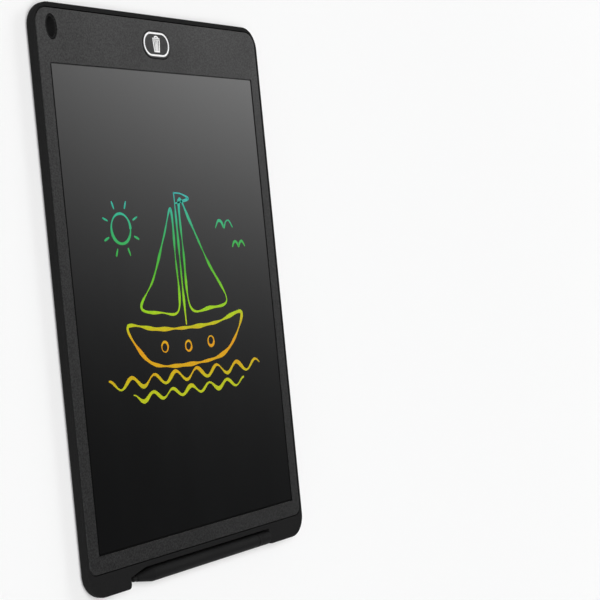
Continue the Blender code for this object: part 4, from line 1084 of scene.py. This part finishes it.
def ring_path(centre: FlatPoint, radius: float, steps: int = 24) -> tuple[FlatPoint, ...]:
    """Points of a circle in millimetres.

    Args:
        centre: Its middle.
        radius: Its radius.
        steps: Number of points.

    Returns:
        The points.
    """
    x, y = centre
    turns = (2 * math.pi * step / steps for step in range(steps))
    return tuple((x + radius * math.cos(turn), y + radius * math.sin(turn)) for turn in turns)


@dataclass
class Housing:
    """Back shell, face plate and the tape between them."""

    shell: MouldedPlastic = MouldedPlastic(
        "housing_black", (0.0118, 0.0118, 0.0120), roughness=0.80, specular=0.07, dust=0.02
    )
    face: MouldedPlastic = MouldedPlastic(
        "face_grey", (0.0225, 0.0225, 0.0227), roughness=0.38, specular=0.16,
        grain_size=0.0004, grain_depth=0.00002, speckle=0.65
    )
    tape: FoamTape = FoamTape(
        "bezel_tape_black", (0.020, 0.020, 0.020), (0.010, 0.010, 0.010), cell_size=0.0002, depth=0.00001
    )
    shell_edges: SoftEdges = SoftEdges(width=0.00018)
    face_edges: SoftEdges = SoftEdges(width=0.00010)

    def build(self, shop: Workshop) -> None:
        """Dresses the housing's nodes.

        Args:
            shop: Does the dressing.
        """
        shop.dress(["rear_housing"], self.shell, self.shell_edges)
        shop.dress(["face_plate"], self.face, self.face_edges)
        shop.dress(["bezel_tape"], self.tape)


@dataclass
class Screen:
    """Film stack and the line drawing on it."""

    film: PolishedFilm = PolishedFilm(
        "writing_film_black", (0.0034, 0.0035, 0.0037), (0.0042, 0.0044, 0.0046),
        roughness=0.10, specular=0.535
    )
    crystal: PolishedFilm = PolishedFilm(
        "crystal_green", (0.016, 0.040, 0.030), (0.026, 0.055, 0.042), roughness=0.20
    )
    absorber: MouldedPlastic = MouldedPlastic(
        "absorber_black", (0.004, 0.004, 0.004), roughness=0.80, specular=0.2
    )
    board: FoamTape = FoamTape(
        "pressed_board", (0.040, 0.039, 0.037), (0.022, 0.021, 0.020), cell_size=0.0005, depth=0.00002
    )
    foam: FoamTape = FoamTape(
        "foam_tape_white", (0.75, 0.75, 0.73), (0.52, 0.52, 0.50), cell_size=0.0003, depth=0.00004
    )
    tail: PolishedFilm = PolishedFilm("tail_amber", (0.45, 0.18, 0.03), (0.36, 0.13, 0.02), roughness=0.35)
    ink: DrawnLine = DrawnLine()
    # Dull black strip round the writing film's edge: a painted shadow of the narrow gap between the face plate
    # and the film.
    shadow_strip: MouldedPlastic = MouldedPlastic(
        "painted_shadow_black", (0.0020, 0.0020, 0.0020), roughness=0.85, specular=0.03, dust=0.0
    )
    gap: float = 0.000008
    layer: float = 0.000002
    thickness: float = 0.000025
    low_corner: FlatPoint = (-83.65, -122.40)
    high_corner: FlatPoint = (84.65, 113.00)
    # Widths in millimetres of the painted gap shadow on each side of the film, wider where that shadow shows
    # wider.
    shadow_left: float = 0.50
    shadow_right: float = 0.62
    shadow_top: float = 0.20
    shadow_bottom: float = 0.72
    outer_bend: float = 0.45
    inner_bend: float = 0.30
    bend_steps: int = 6
    porthole: float = 2.6
    porthole_steps: int = 12
    rays: int = 8
    wave_steps: int = 8

    def build(self, shop: Workshop) -> None:
        """Dresses the films, lays a black strip of painted gap shadow round the writing film's edge and draws
        the picture.

        Args:
            shop: Does the dressing and makes the pieces.
        """
        shop.dress(["writing_film"], self.film)
        shop.dress(["crystal_film"], self.crystal)
        shop.dress(["backing_film"], self.absorber)
        shop.dress(["support_board"], self.board)
        shop.dress(["foam_tape_frame"], self.foam)
        shop.dress(["screen_tail"], self.tail)
        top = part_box("writing_film")[1].z
        # Painted shadow: a dull black strip round the film's edge stands in for the shade in the gap under the
        # face plate.
        self._paint_gap_shadow(shop, top + self.layer, top + self.gap)
        pen = LinePen(top + self.gap, top + self.gap + self.thickness)
        picture = {"drawn_boat": self._boat(), "drawn_waves": self._waves(), "drawn_sky": self._sky()}
        for name, strokes in picture.items():
            pen.draw(shop, name, strokes, self.ink, Body.TABLET)
            pen = LinePen(pen.low + self.layer, pen.high + self.layer)

    def _paint_gap_shadow(self, shop: Workshop, low: float, high: float) -> None:
        """Makes the dull black strip round the film's edge, a painted shadow of the gap between the face plate
        and the film.

        Args:
            shop: Makes the piece.
            low: Height of its underside in metres.
            high: Height of its top in metres.
        """
        left, bottom = self.low_corner
        right, top = self.high_corner
        outer = self._frame_line((left, bottom), (right, top), self.outer_bend)
        inner = self._frame_line((left + self.shadow_left, bottom + self.shadow_bottom),
                                 (right - self.shadow_right, top - self.shadow_top), self.inner_bend)
        loops = ((outer, low), (outer, high), (inner, high), (inner, low))
        points = [(x * MM, y * MM, height) for line, height in loops for x, y in line]
        count = len(outer)
        faces = []
        for loop in range(len(loops)):
            here = loop * count
            there = (loop + 1) % len(loops) * count
            for index in range(count):
                following = (index + 1) % count
                faces.append((here + index, here + following, there + following, there + index))
        shop.piece("painted_gap_shadow", points, faces, self.shadow_strip, Body.TABLET)

    def _frame_line(self, low: FlatPoint, high: FlatPoint, bend: float) -> list[FlatPoint]:
        """Oblong with rounded corners.

        Args:
            low: Its lower left corner.
            high: Its upper right corner.
            bend: Radius of its corners.

        Returns:
            Its points, going round to the left.
        """
        left, bottom = (edge + bend for edge in low)
        right, top = (edge - bend for edge in high)
        line = []
        for x, y, first in ((right, bottom, -90), (right, top, 0), (left, top, 90), (left, bottom, 180)):
            for step in range(self.bend_steps + 1):
                turn = math.radians(first + 90 * step / self.bend_steps)
                line.append((x + bend * math.cos(turn), y + bend * math.sin(turn)))
        return line

    def _boat(self) -> list[Stroke]:
        """A sailing boat with two sails, a pennant and three portholes.

        Returns:
            The strokes.
        """
        main_sail = ((7, 47), (15, 35), (27, 14), (41, -7), (25, -10.5), (8, -9), (6.5, 20))
        fore_sail = ((-1, 42), (-9, 28), (-21, 7), (-33, -7), (-17, -10.5), (-2, -9.5), (-0.8, 18))
        hull = ((-45, -15.5), (-22, -18.5), (4, -19.5), (30, -18.5), (53, -14.5),
                (45, -28), (30, -36.5), (2, -38.5), (-25, -36.5), (-38, -28))
        mast = ((3, 51), (3, 30), (2.8, 5), (3, -18))
        pennant = ((3, 50.5), (9, 50), (15, 47.5), (9, 46), (3.2, 45))
        strokes = [
            Stroke(main_sail, width=1.4, closed=True),
            Stroke(fore_sail, width=1.3, closed=True),
            Stroke(hull, width=1.7, closed=True),
            Stroke(mast, width=1.3),
            Stroke(pennant, width=1.1),
        ]
        for centre in ((-17, -28), (3, -29), (23, -28)):
            hole = ring_path(centre, self.porthole, self.porthole_steps)
            strokes.append(Stroke(hole, width=1.1, closed=True))
        return strokes

    def _waves(self) -> list[Stroke]:
        """Two rows of rolling waves under the boat.

        Returns:
            The strokes.
        """
        rows = ((-64.0, 66.0, -43.5, 2.6, 18.0), (-46.0, 50.0, -51.5, 2.0, 16.0))
        strokes = []
        for left, right, level, rise, length in rows:
            count = round((right - left) / length * self.wave_steps)
            xs = [left + (right - left) * step / count for step in range(count + 1)]
            path = tuple((x, level + rise * math.cos(2 * math.pi * (x - left) / length)) for x in xs)
            strokes.append(Stroke(path, width=1.6))
        return strokes

    def _sky(self) -> list[Stroke]:
        """A small sun with rays, and two gulls.

        Returns:
            The strokes.
        """
        sun = (-43.0, 33.0)
        sun_radius = 7.5
        ray_places = (10.6, 12.6, 14.8)
        strokes = [Stroke(ring_path(sun, sun_radius), width=1.35, closed=True)]
        for ray in range(self.rays):
            turn = 2 * math.pi * (ray + 0.5) / self.rays
            reach = [(sun[0] + far * math.cos(turn), sun[1] + far * math.sin(turn)) for far in ray_places]
            strokes.append(Stroke(tuple(reach), width=1.2))
        wings = ((-8, -1.6), (-5, 2.2), (-2, 1.6), (0, -1.4), (2, 1.6), (5, 2.2), (8, -1.6))
        for x, y, size in ((45.0, 33.0, 1.0), (57.0, 22.0, 0.75)):
            strokes.append(Stroke(tuple((x + size * u, y + size * v) for u, v in wings), width=1.2))
        return strokes


@dataclass
class EraseButton:
    """Oval cap with its printed ring and bin, and the snap dome under it."""

    cap: MouldedPlastic = MouldedPlastic(
        "button_grey", (0.0215, 0.0215, 0.0217), roughness=0.40, specular=0.16,
        grain_size=0.0006, grain_depth=0.00002, speckle=0.35
    )
    dome: WorkedMetal = WorkedMetal("dome_steel", (0.56, 0.57, 0.58), roughness=0.24)
    ink: PadPrint = PadPrint()
    edges: SoftEdges = SoftEdges(width=0.00010)
    centre: FlatPoint = (0.45, 127.35)
    ring_length: float = 21.3
    ring_height: float = 12.4
    line_width: float = 0.95
    bend_steps: int = 16
    press_depth: float = 0.35
    print_gap: float = 0.000004
    print_thickness: float = 0.000016

    def build(self, shop: Workshop) -> None:
        """Dresses the button and prints on it.

        Args:
            shop: Does the dressing and makes the pieces.
        """
        shop.dress(["erase_button"], self.cap, self.edges)
        shop.dress(["snap_dome"], self.dome)
        self._flatten_dome(shop.nodes["snap_dome"])
        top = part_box("erase_button")[1].z + self.print_gap
        pen = LinePen(top, top + self.print_thickness)
        pen.draw(shop, "printed_ring", [self._ring()], self.ink, Body.ERASE_BUTTON)
        pen.draw(shop, "printed_bin", self._bin(), self.ink, Body.ERASE_BUTTON)

    def _flatten_dome(self, dome: bpy.types.Object) -> None:
        """Gives the snap dome's node a mesh of its own; the dome is not made to give way.

        Args:
            dome: The snap dome's node.
        """
        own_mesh(dome)

    def _ring(self) -> Stroke:
        """The oval line near the cap's edge.

        Returns:
            The stroke.
        """
        x, y = self.centre
        radius = (self.ring_height - self.line_width) / 2
        reach = (self.ring_length - self.ring_height) / 2
        path = []
        for side, first in ((1, -90), (-1, 90)):
            for step in range(self.bend_steps + 1):
                turn = math.radians(first + 180 * step / self.bend_steps)
                path.append((x + side * reach + radius * math.cos(turn), y + radius * math.sin(turn)))
        return Stroke(tuple(path), self.line_width, closed=True, curved=False)

    def _bin(self) -> list[Stroke]:
        """A plain bin: tapered body, a lid with its handle, and slots.

        Returns:
            The strokes.
        """
        x, y = self.centre
        lines = [
            (((-2.65, 2.4), (-1.95, -3.7), (1.95, -3.7), (2.65, 2.4)), 0.75, True),
            (((-3.05, 2.9), (3.05, 2.9)), 0.85, False),
            (((-1.5, 3.3), (-1.2, 3.8), (-0.5, 4.05), (0.5, 4.05), (1.2, 3.8), (1.5, 3.3)), 0.75, False),
        ]
        for top, foot in ((-1.2, -0.85), (0.0, 0.0), (1.2, 0.85)):
            lines.append((((top, 2.1), (foot, -3.4)), 0.7, False))
        strokes = []
        for path, width, closed in lines:
            placed = tuple((x + across, y + up) for across, up in path)
            strokes.append(Stroke(placed, width, closed, curved=False))
        return strokes


@dataclass
class Lock:
    """Slider on the back with its lever and switch."""

    slider: MouldedPlastic = MouldedPlastic(
        "slider_black", (0.0148, 0.0148, 0.0150), roughness=0.6, specular=0.2
    )
    ivory: MouldedPlastic = MouldedPlastic(
        "ivory_nylon", (0.70, 0.64, 0.50), roughness=0.45, specular=0.4, speckle=0.05
    )
    switch: WorkedMetal = WorkedMetal("blackened_steel", (0.020, 0.020, 0.021), roughness=0.45, lines=Axis.UP)
    edges: SoftEdges = SoftEdges(width=0.00008)

    def build(self, shop: Workshop) -> None:
        """Dresses the lock's nodes.

        Args:
            shop: Does the dressing.
        """
        shop.dress(["lock_slider"], self.slider, self.edges)
        shop.dress(["lock_lever", "tail_connector"], self.ivory)
        shop.dress(["lock_switch"], self.switch)


@dataclass
class Electronics:
    """Circuit board, its parts, its screws and the battery contacts."""

    board: BoardLaminate = BoardLaminate()
    chip: MouldedPlastic = MouldedPlastic(
        "chip_epoxy", (0.012, 0.012, 0.013), roughness=0.55, specular=0.4, grain_size=0.0002
    )
    ferrite: MouldedPlastic = MouldedPlastic(
        "ferrite_grey", (0.060, 0.060, 0.062), roughness=0.60, specular=0.3, speckle=0.2
    )
    ceramic: CeramicBlock = CeramicBlock()
    screws: WorkedMetal = WorkedMetal("screw_steel", (0.56, 0.57, 0.58), roughness=0.30)
    contacts: WorkedMetal = WorkedMetal(
        "contact_nickel", (0.66, 0.63, 0.57), roughness=0.28, lines=Axis.UP
    )

    def build(self, shop: Workshop) -> None:
        """Dresses the board's nodes.

        Args:
            shop: Does the dressing.
        """
        shop.dress(["circuit_board"], self.board)
        shop.dress(["driver_chip", "rectifier_diode", "gate_resistor", "bias_resistor"], self.chip)
        shop.dress(["boost_inductor"], self.ferrite)
        shop.dress(["input_capacitor", "output_capacitor"], self.ceramic)
        shop.dress([name for name in shop.nodes if name.startswith("board_screw")], self.screws)
        shop.dress(["positive_contact", "negative_contact"], self.contacts)


@dataclass
class BatteryTray:
    """Tray in the top edge with its coin cell."""

    tray: MouldedPlastic = MouldedPlastic(
        "tray_black", (0.0118, 0.0118, 0.0120), roughness=0.75, specular=0.12
    )
    cell: WorkedMetal = WorkedMetal("cell_steel", (0.60, 0.61, 0.62), roughness=0.26, line_pitch=0.00009)
    edges: SoftEdges = SoftEdges(width=0.00010)

    def build(self, shop: Workshop) -> None:
        """Dresses the tray and its cell.

        Args:
            shop: Does the dressing.
        """
        shop.dress(["battery_tray"], self.tray, self.edges)
        shop.dress(["coin_cell"], self.cell)


@dataclass(frozen=True)
class ProfilePoint:
    """A corner of a turned piece's profile, rounded by a fillet."""

    along: float
    radius: float
    fillet: float = 0.0


@dataclass
class Stylus:
    """Turned stylus: barrel with a cone and a ring groove, nib and end cap. Lengths are in millimetres."""

    barrel_plastic: MouldedPlastic = MouldedPlastic(
        "stylus_charcoal", (0.0108, 0.0108, 0.0110), roughness=0.62, specular=0.06, grain_size=0.0004
    )
    nib_plastic: MouldedPlastic = MouldedPlastic(
        "nib_black", (0.0100, 0.0100, 0.0102), roughness=0.55, specular=0.08, grain_size=0.0003
    )
    segments: int = 72
    fillet_steps: int = 6
    fillet_room_share: float = 0.48
    nose_radius: float = 1.6
    nose_fillet: float = 0.12
    bore_radius: float = 2.4
    bore_from_cone: float = 0.5
    bore_fillet: float = 0.1
    stem_radius: float = 0.8
    stem_length: float = 6.0
    stem_fillet: float = 0.1
    cone_length: float = 14.5
    cone_fillet: float = 2.0
    nib_length: float = 2.8
    nib_radius: float = 1.3
    nib_round: float = 1.1
    nib_foot_fillet: float = 0.05
    cap_length: float = 7.7
    cap_round: float = 0.45
    spigot_length: float = 6.0
    spigot_fillet: float = 0.2
    joint_fillet: float = 0.15
    groove_from_joint: float = 3.4
    groove_width: float = 0.5
    groove_depth: float = 0.3
    groove_fillet: float = 0.08
    seat: float = 0.2
    axis_y: float = field(init=False)
    axis_z: float = field(init=False)
    radius: float = field(init=False)
    tip: float = field(init=False)
    end: float = field(init=False)
    joint: float = field(init=False)

    def build(self, shop: Workshop) -> None:
        """Makes the three turned pieces.

        Args:
            shop: Makes the pieces.
        """
        low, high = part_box("stylus_barrel")
        self.axis_y = (low.y + high.y) / 2
        self.axis_z = (low.z + high.z) / 2
        self.radius = (high.z - low.z) / 2 / MM
        self.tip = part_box("stylus_nib")[0].x / MM
        self.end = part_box("stylus_end_cap")[1].x / MM
        self.joint = self.end - self.cap_length
        barrel = self._turned(shop, "pen_barrel", self._barrel_profile(), self.barrel_plastic, closed=True)
        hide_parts("stylus_barrel")
        nib = self._turned(shop, "pen_nib", self._nib_profile(), self.nib_plastic)
        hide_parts("stylus_nib")
        cap = self._turned(shop, "pen_end_cap", self._cap_profile(), self.barrel_plastic)
        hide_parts("stylus_end_cap")

    def _barrel_profile(self) -> list[ProfilePoint]:
        """Tube with a cone, a ring groove and a rounded joint, round its bore.

        Returns:
            The profile's corners.
        """
        nose = self.tip + self.nib_length + self.seat
        cone = self.tip + self.cone_length
        groove = self.joint - self.groove_from_joint
        floor = self.radius - self.groove_depth
        bore = self.stem_radius + self.seat
        return [
            ProfilePoint(nose, self.nose_radius, self.nose_fillet),
            ProfilePoint(cone, self.radius, self.cone_fillet),
            ProfilePoint(groove, self.radius, self.groove_fillet),
            ProfilePoint(groove, floor, self.groove_fillet),
            ProfilePoint(groove + self.groove_width, floor, self.groove_fillet),
            ProfilePoint(groove + self.groove_width, self.radius, self.groove_fillet),
            ProfilePoint(self.joint, self.radius, self.joint_fillet),
            ProfilePoint(self.joint, self.bore_radius),
            ProfilePoint(cone + self.bore_from_cone, self.bore_radius),
            ProfilePoint(cone + self.bore_from_cone, bore),
            ProfilePoint(nose, bore, self.bore_fillet),
        ]

    def _nib_profile(self) -> list[ProfilePoint]:
        """Rounded nib with the stem that holds it.

        Returns:
            The profile's corners.
        """
        foot = self.tip + self.nib_length
        return [
            ProfilePoint(self.tip, 0.0),
            ProfilePoint(self.tip, self.nib_radius, self.nib_round),
            ProfilePoint(foot, self.nib_radius, self.nib_foot_fillet),
            ProfilePoint(foot, self.stem_radius),
            ProfilePoint(foot + self.stem_length, self.stem_radius, self.stem_fillet),
            ProfilePoint(foot + self.stem_length, 0.0),
        ]

    def _cap_profile(self) -> list[ProfilePoint]:
        """End cap with a spigot in the barrel and a rounded end.

        Returns:
            The profile's corners.
        """
        start = self.joint + self.seat
        spigot = self.bore_radius - self.seat
        return [
            ProfilePoint(start - self.spigot_length, 0.0),
            ProfilePoint(start - self.spigot_length, spigot, self.spigot_fillet),
            ProfilePoint(start, spigot),
            ProfilePoint(start, self.radius, self.joint_fillet),
            ProfilePoint(self.end, self.radius, self.cap_round),
            ProfilePoint(self.end, 0.0),
        ]

    def _turned(
        self,
        shop: Workshop,
        name: str,
        profile: Sequence[ProfilePoint],
        finish: MouldedPlastic,
        closed: bool = False,
    ) -> Piece:
        """Turns a profile round the stylus's axis.

        Args:
            shop: Makes the piece.
            name: The piece's name.
            profile: Its corners.
            finish: Its finish.
            closed: Whether the profile is a loop round a bore.

        Returns:
            The piece's object.
        """
        outline = self._filleted(profile, closed)
        on_axis = [not closed and radius < TINY for _, radius in outline]
        points: list[Point] = []
        rings: list[list[int]] = []
        for (along, radius), axial in zip(outline, on_axis):
            ring = []
            for segment in range(1 if axial else self.segments):
                turn = 2 * math.pi * segment / self.segments
                ring.append(len(points))
                points.append((along * MM, self.axis_y + radius * math.cos(turn) * MM,
                               self.axis_z + radius * math.sin(turn) * MM))
            rings.append(ring)
        faces: list[tuple[int, ...]] = []
        following_rings = rings[1:] + rings[:1] if closed else rings[1:]
        for first, second in zip(rings, following_rings):
            for segment in range(self.segments):
                following = (segment + 1) % self.segments
                corners = [first[segment % len(first)], first[following % len(first)],
                           second[following % len(second)], second[segment % len(second)]]
                faces.append(tuple(dict.fromkeys(corners)))
        return shop.piece(name, points, faces, finish, Body.STYLUS)

    def _filleted(self, profile: Sequence[ProfilePoint], closed: bool) -> list[FlatPoint]:
        """Rounds the profile's corners.

        Args:
            profile: The corners.
            closed: Whether the profile is a loop.

        Returns:
            The rounded profile's points.
        """
        outline: list[FlatPoint] = []
        count = len(profile)
        for index, corner in enumerate(profile):
            here = Vector((corner.along, corner.radius))
            inner = closed or 0 < index < count - 1
            if not inner or corner.fillet <= 0:
                outline.append((here.x, here.y))
                continue
            before = profile[index - 1]
            after = profile[(index + 1) % count]
            back = Vector((before.along, before.radius)) - here
            forth = Vector((after.along, after.radius)) - here
            half = back.angle(forth) / 2
            room = min(back.length, forth.length) * self.fillet_room_share
            run = min(corner.fillet / math.tan(half), room)
            start = here + back.normalized() * run
            end = here + forth.normalized() * run
            for step in range(self.fillet_steps + 1):
                share = step / self.fillet_steps
                spot = start * (1 - share) ** 2 + here * 2 * share * (1 - share) + end * share**2
                outline.append((spot.x, spot.y))
        return outline


@dataclass
class Studio:
    """Pale floor, soft light and the camera."""

    camera_place: Point = (-0.70119, -0.00465, 0.53185)
    camera_turn: Point = (8.226, -56.754, -10.308)
    lens: float = 101.63
    near_limit: float = 0.01
    lamp_strength: float = 1.51
    lamp_spread: float = math.radians(40)
    lamp_tilt: float = math.radians(35)
    lamp_sides: tuple[float, float] = (150.0, 210.0)
    floor_reach: float = 20.0
    floor_drop: float = 0.00002
    floor_colour: Colour = (0.84, 0.84, 0.84)
    floor_lift: float = 0.12
    fade_from: float = 0.35
    fade_to: float = 1.1
    sky: float = 0.06
    low_sky: float = 0.85
    low_sky_from: float = math.radians(19)
    low_sky_full: float = math.radians(9)
    glow: float = 5.0
    glow_turn: float = math.radians(21.3)
    glow_rise: float = math.radians(29.3)
    glow_edge: float = 0.845
    glow_fall: float = 6.0

    def build(self) -> None:
        """Makes the camera, the floor, the lamps and the world."""
        self._make_camera()
        self._make_floor()
        for side in self.lamp_sides:
            self._make_lamp(side)
        self._make_world()

    def _make_camera(self) -> None:
        """Sets up the camera at the photograph's viewing angle."""
        data = bpy.data.cameras.new("camera")
        data.lens = self.lens
        data.clip_start = self.near_limit
        camera = bpy.data.objects.new("camera", data)
        bpy.context.scene.collection.objects.link(camera)
        camera.location = self.camera_place
        camera.rotation_euler = Euler([math.radians(angle) for angle in self.camera_turn])
        bpy.context.scene.camera = camera

    def _make_lamp(self, side: float) -> None:
        """Adds one broad soft lamp.

        Args:
            side: Where it stands round the object, in degrees from +X.
        """
        data = bpy.data.lights.new("studio_lamp", "SUN")
        data.energy = self.lamp_strength
        data.angle = self.lamp_spread
        lamp = bpy.data.objects.new("studio_lamp", data)
        bpy.context.scene.collection.objects.link(lamp)
        turn = math.radians(side)
        outward = math.sin(self.lamp_tilt)
        towards = Vector((outward * math.cos(turn), outward * math.sin(turn), math.cos(self.lamp_tilt)))
        lamp.rotation_euler = towards.to_track_quat("Z", "Y").to_euler()

    def _seen_directly(self, graph: ShaderGraph) -> Socket:
        """Mask of the rays that show the background: camera, glossy and transmission rays.

        Args:
            graph: The graph that the mask is for.

        Returns:
            The mask's socket.
        """
        path = graph.node("ShaderNodeLightPath")
        shown = graph.math("MAXIMUM", path.outputs["Is Camera Ray"], path.outputs["Is Glossy Ray"])
        return graph.math("MAXIMUM", shown, path.outputs["Is Transmission Ray"])

    def _make_floor(self) -> None:
        """Makes the floor, which keeps the shadow and isn't seen from below."""
        reach = self.floor_reach
        corners = ((-reach, -reach), (reach, -reach), (reach, reach), (-reach, reach))
        mesh = bpy.data.meshes.new("floor")
        mesh.from_pydata([(x, y, -self.floor_drop) for x, y in corners], [], [range(len(corners))])
        floor = bpy.data.objects.new("floor", mesh)
        bpy.context.scene.collection.objects.link(floor)
        material = bpy.data.materials.new("studio_floor")
        material.use_nodes = True
        graph = ShaderGraph(material.node_tree)
        graph.tree.nodes.clear()
        paper = graph.node("ShaderNodeBsdfDiffuse")
        paper.inputs["Color"].default_value = (*self.floor_colour, 1.0)
        seen = self._seen_directly(graph)
        lift = graph.node("ShaderNodeEmission")
        graph.feed(graph.math("MULTIPLY", seen, self.floor_lift), lift.inputs["Strength"])
        near = graph.node("ShaderNodeAddShader")
        graph.feed(paper.outputs[0], near.inputs[0])
        graph.feed(lift.outputs[0], near.inputs[1])
        far = graph.node("ShaderNodeEmission")
        coordinates = graph.node("ShaderNodeTexCoord")
        distance = graph.vector_math("LENGTH", coordinates.outputs["Object"]).outputs["Value"]
        fade = graph.math("MULTIPLY", graph.span(distance, self.fade_from, self.fade_to), seen)
        top = graph.node("ShaderNodeMixShader")
        graph.feed(fade, top.inputs[0])
        graph.feed(near.outputs[0], top.inputs[1])
        graph.feed(far.outputs[0], top.inputs[2])
        clear = graph.node("ShaderNodeBsdfTransparent")
        surface = graph.node("ShaderNodeNewGeometry")
        path = graph.node("ShaderNodeLightPath")
        passed = graph.math("GREATER_THAN", path.outputs["Transparent Depth"], 0.5)
        open_below = graph.math("MAXIMUM", surface.outputs["Backfacing"], passed)
        whole = graph.node("ShaderNodeMixShader")
        graph.feed(open_below, whole.inputs[0])
        graph.feed(top.outputs[0], whole.inputs[1])
        graph.feed(clear.outputs[0], whole.inputs[2])
        graph.feed(whole.outputs[0], graph.node("ShaderNodeOutputMaterial").inputs["Surface"])
        mesh.materials.append(material)

    def _make_world(self) -> None:
        """Makes the studio round the object: dim above, pale low down, with one soft glow."""
        world = bpy.data.worlds.new("studio")
        world.use_nodes = True
        bpy.context.scene.world = world
        graph = ShaderGraph(world.node_tree)
        background = world.node_tree.nodes["Background"]
        background.inputs["Color"].default_value = (1.0, 1.0, 1.0, 1.0)
        coordinates = graph.node("ShaderNodeTexCoord")
        direction = graph.vector_math("NORMALIZE", coordinates.outputs["Generated"]).outputs["Vector"]
        middle = (math.cos(self.glow_rise) * math.cos(self.glow_turn),
                  math.cos(self.glow_rise) * math.sin(self.glow_turn), math.sin(self.glow_rise))
        facing = graph.vector_math("DOT_PRODUCT", direction, middle).outputs["Value"]
        inside = graph.math("SUBTRACT", facing, self.glow_edge)
        share = graph.math("DIVIDE", inside, 1 - self.glow_edge, clamp=True)
        glow = graph.math("MULTIPLY", graph.math("POWER", share, self.glow_fall), self.glow)
        parts = graph.node("ShaderNodeSeparateXYZ")
        graph.feed(direction, parts.inputs["Vector"])
        heights = (math.sin(self.low_sky_from), math.sin(self.low_sky_full))
        low = graph.span(parts.outputs["Z"], *heights, 0.0, self.low_sky)
        light = graph.math("ADD", graph.math("MAXIMUM", low, self.sky), glow)
        path = graph.node("ShaderNodeLightPath")
        passed = graph.math("GREATER_THAN", path.outputs["Transparent Depth"], 0.5)
        behind = graph.math("MULTIPLY", self._seen_directly(graph), passed)
        kept = graph.math("MULTIPLY", light, graph.math("SUBTRACT", 1.0, behind))
        graph.feed(graph.math("ADD", kept, behind), background.inputs["Strength"])


def main() -> None:
    """Builds the studio and every sub-assembly."""
    logging.basicConfig(level=logging.INFO, format="%(name)s: %(message)s", stream=sys.stdout)
    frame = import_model()
    scene = bpy.context.scene
    scene.view_settings.view_transform = "Standard"
    Studio().build()
    shop = Workshop(frame)
    for assembly in (Housing(), Screen(), EraseButton(), Lock(), Electronics(), BatteryTray(), Stylus()):
        assembly.build(shop)
        REPORT.info("%s done", type(assembly).__name__)
    bpy.context.view_layer.update()


if __name__ == "__main__":
    main()
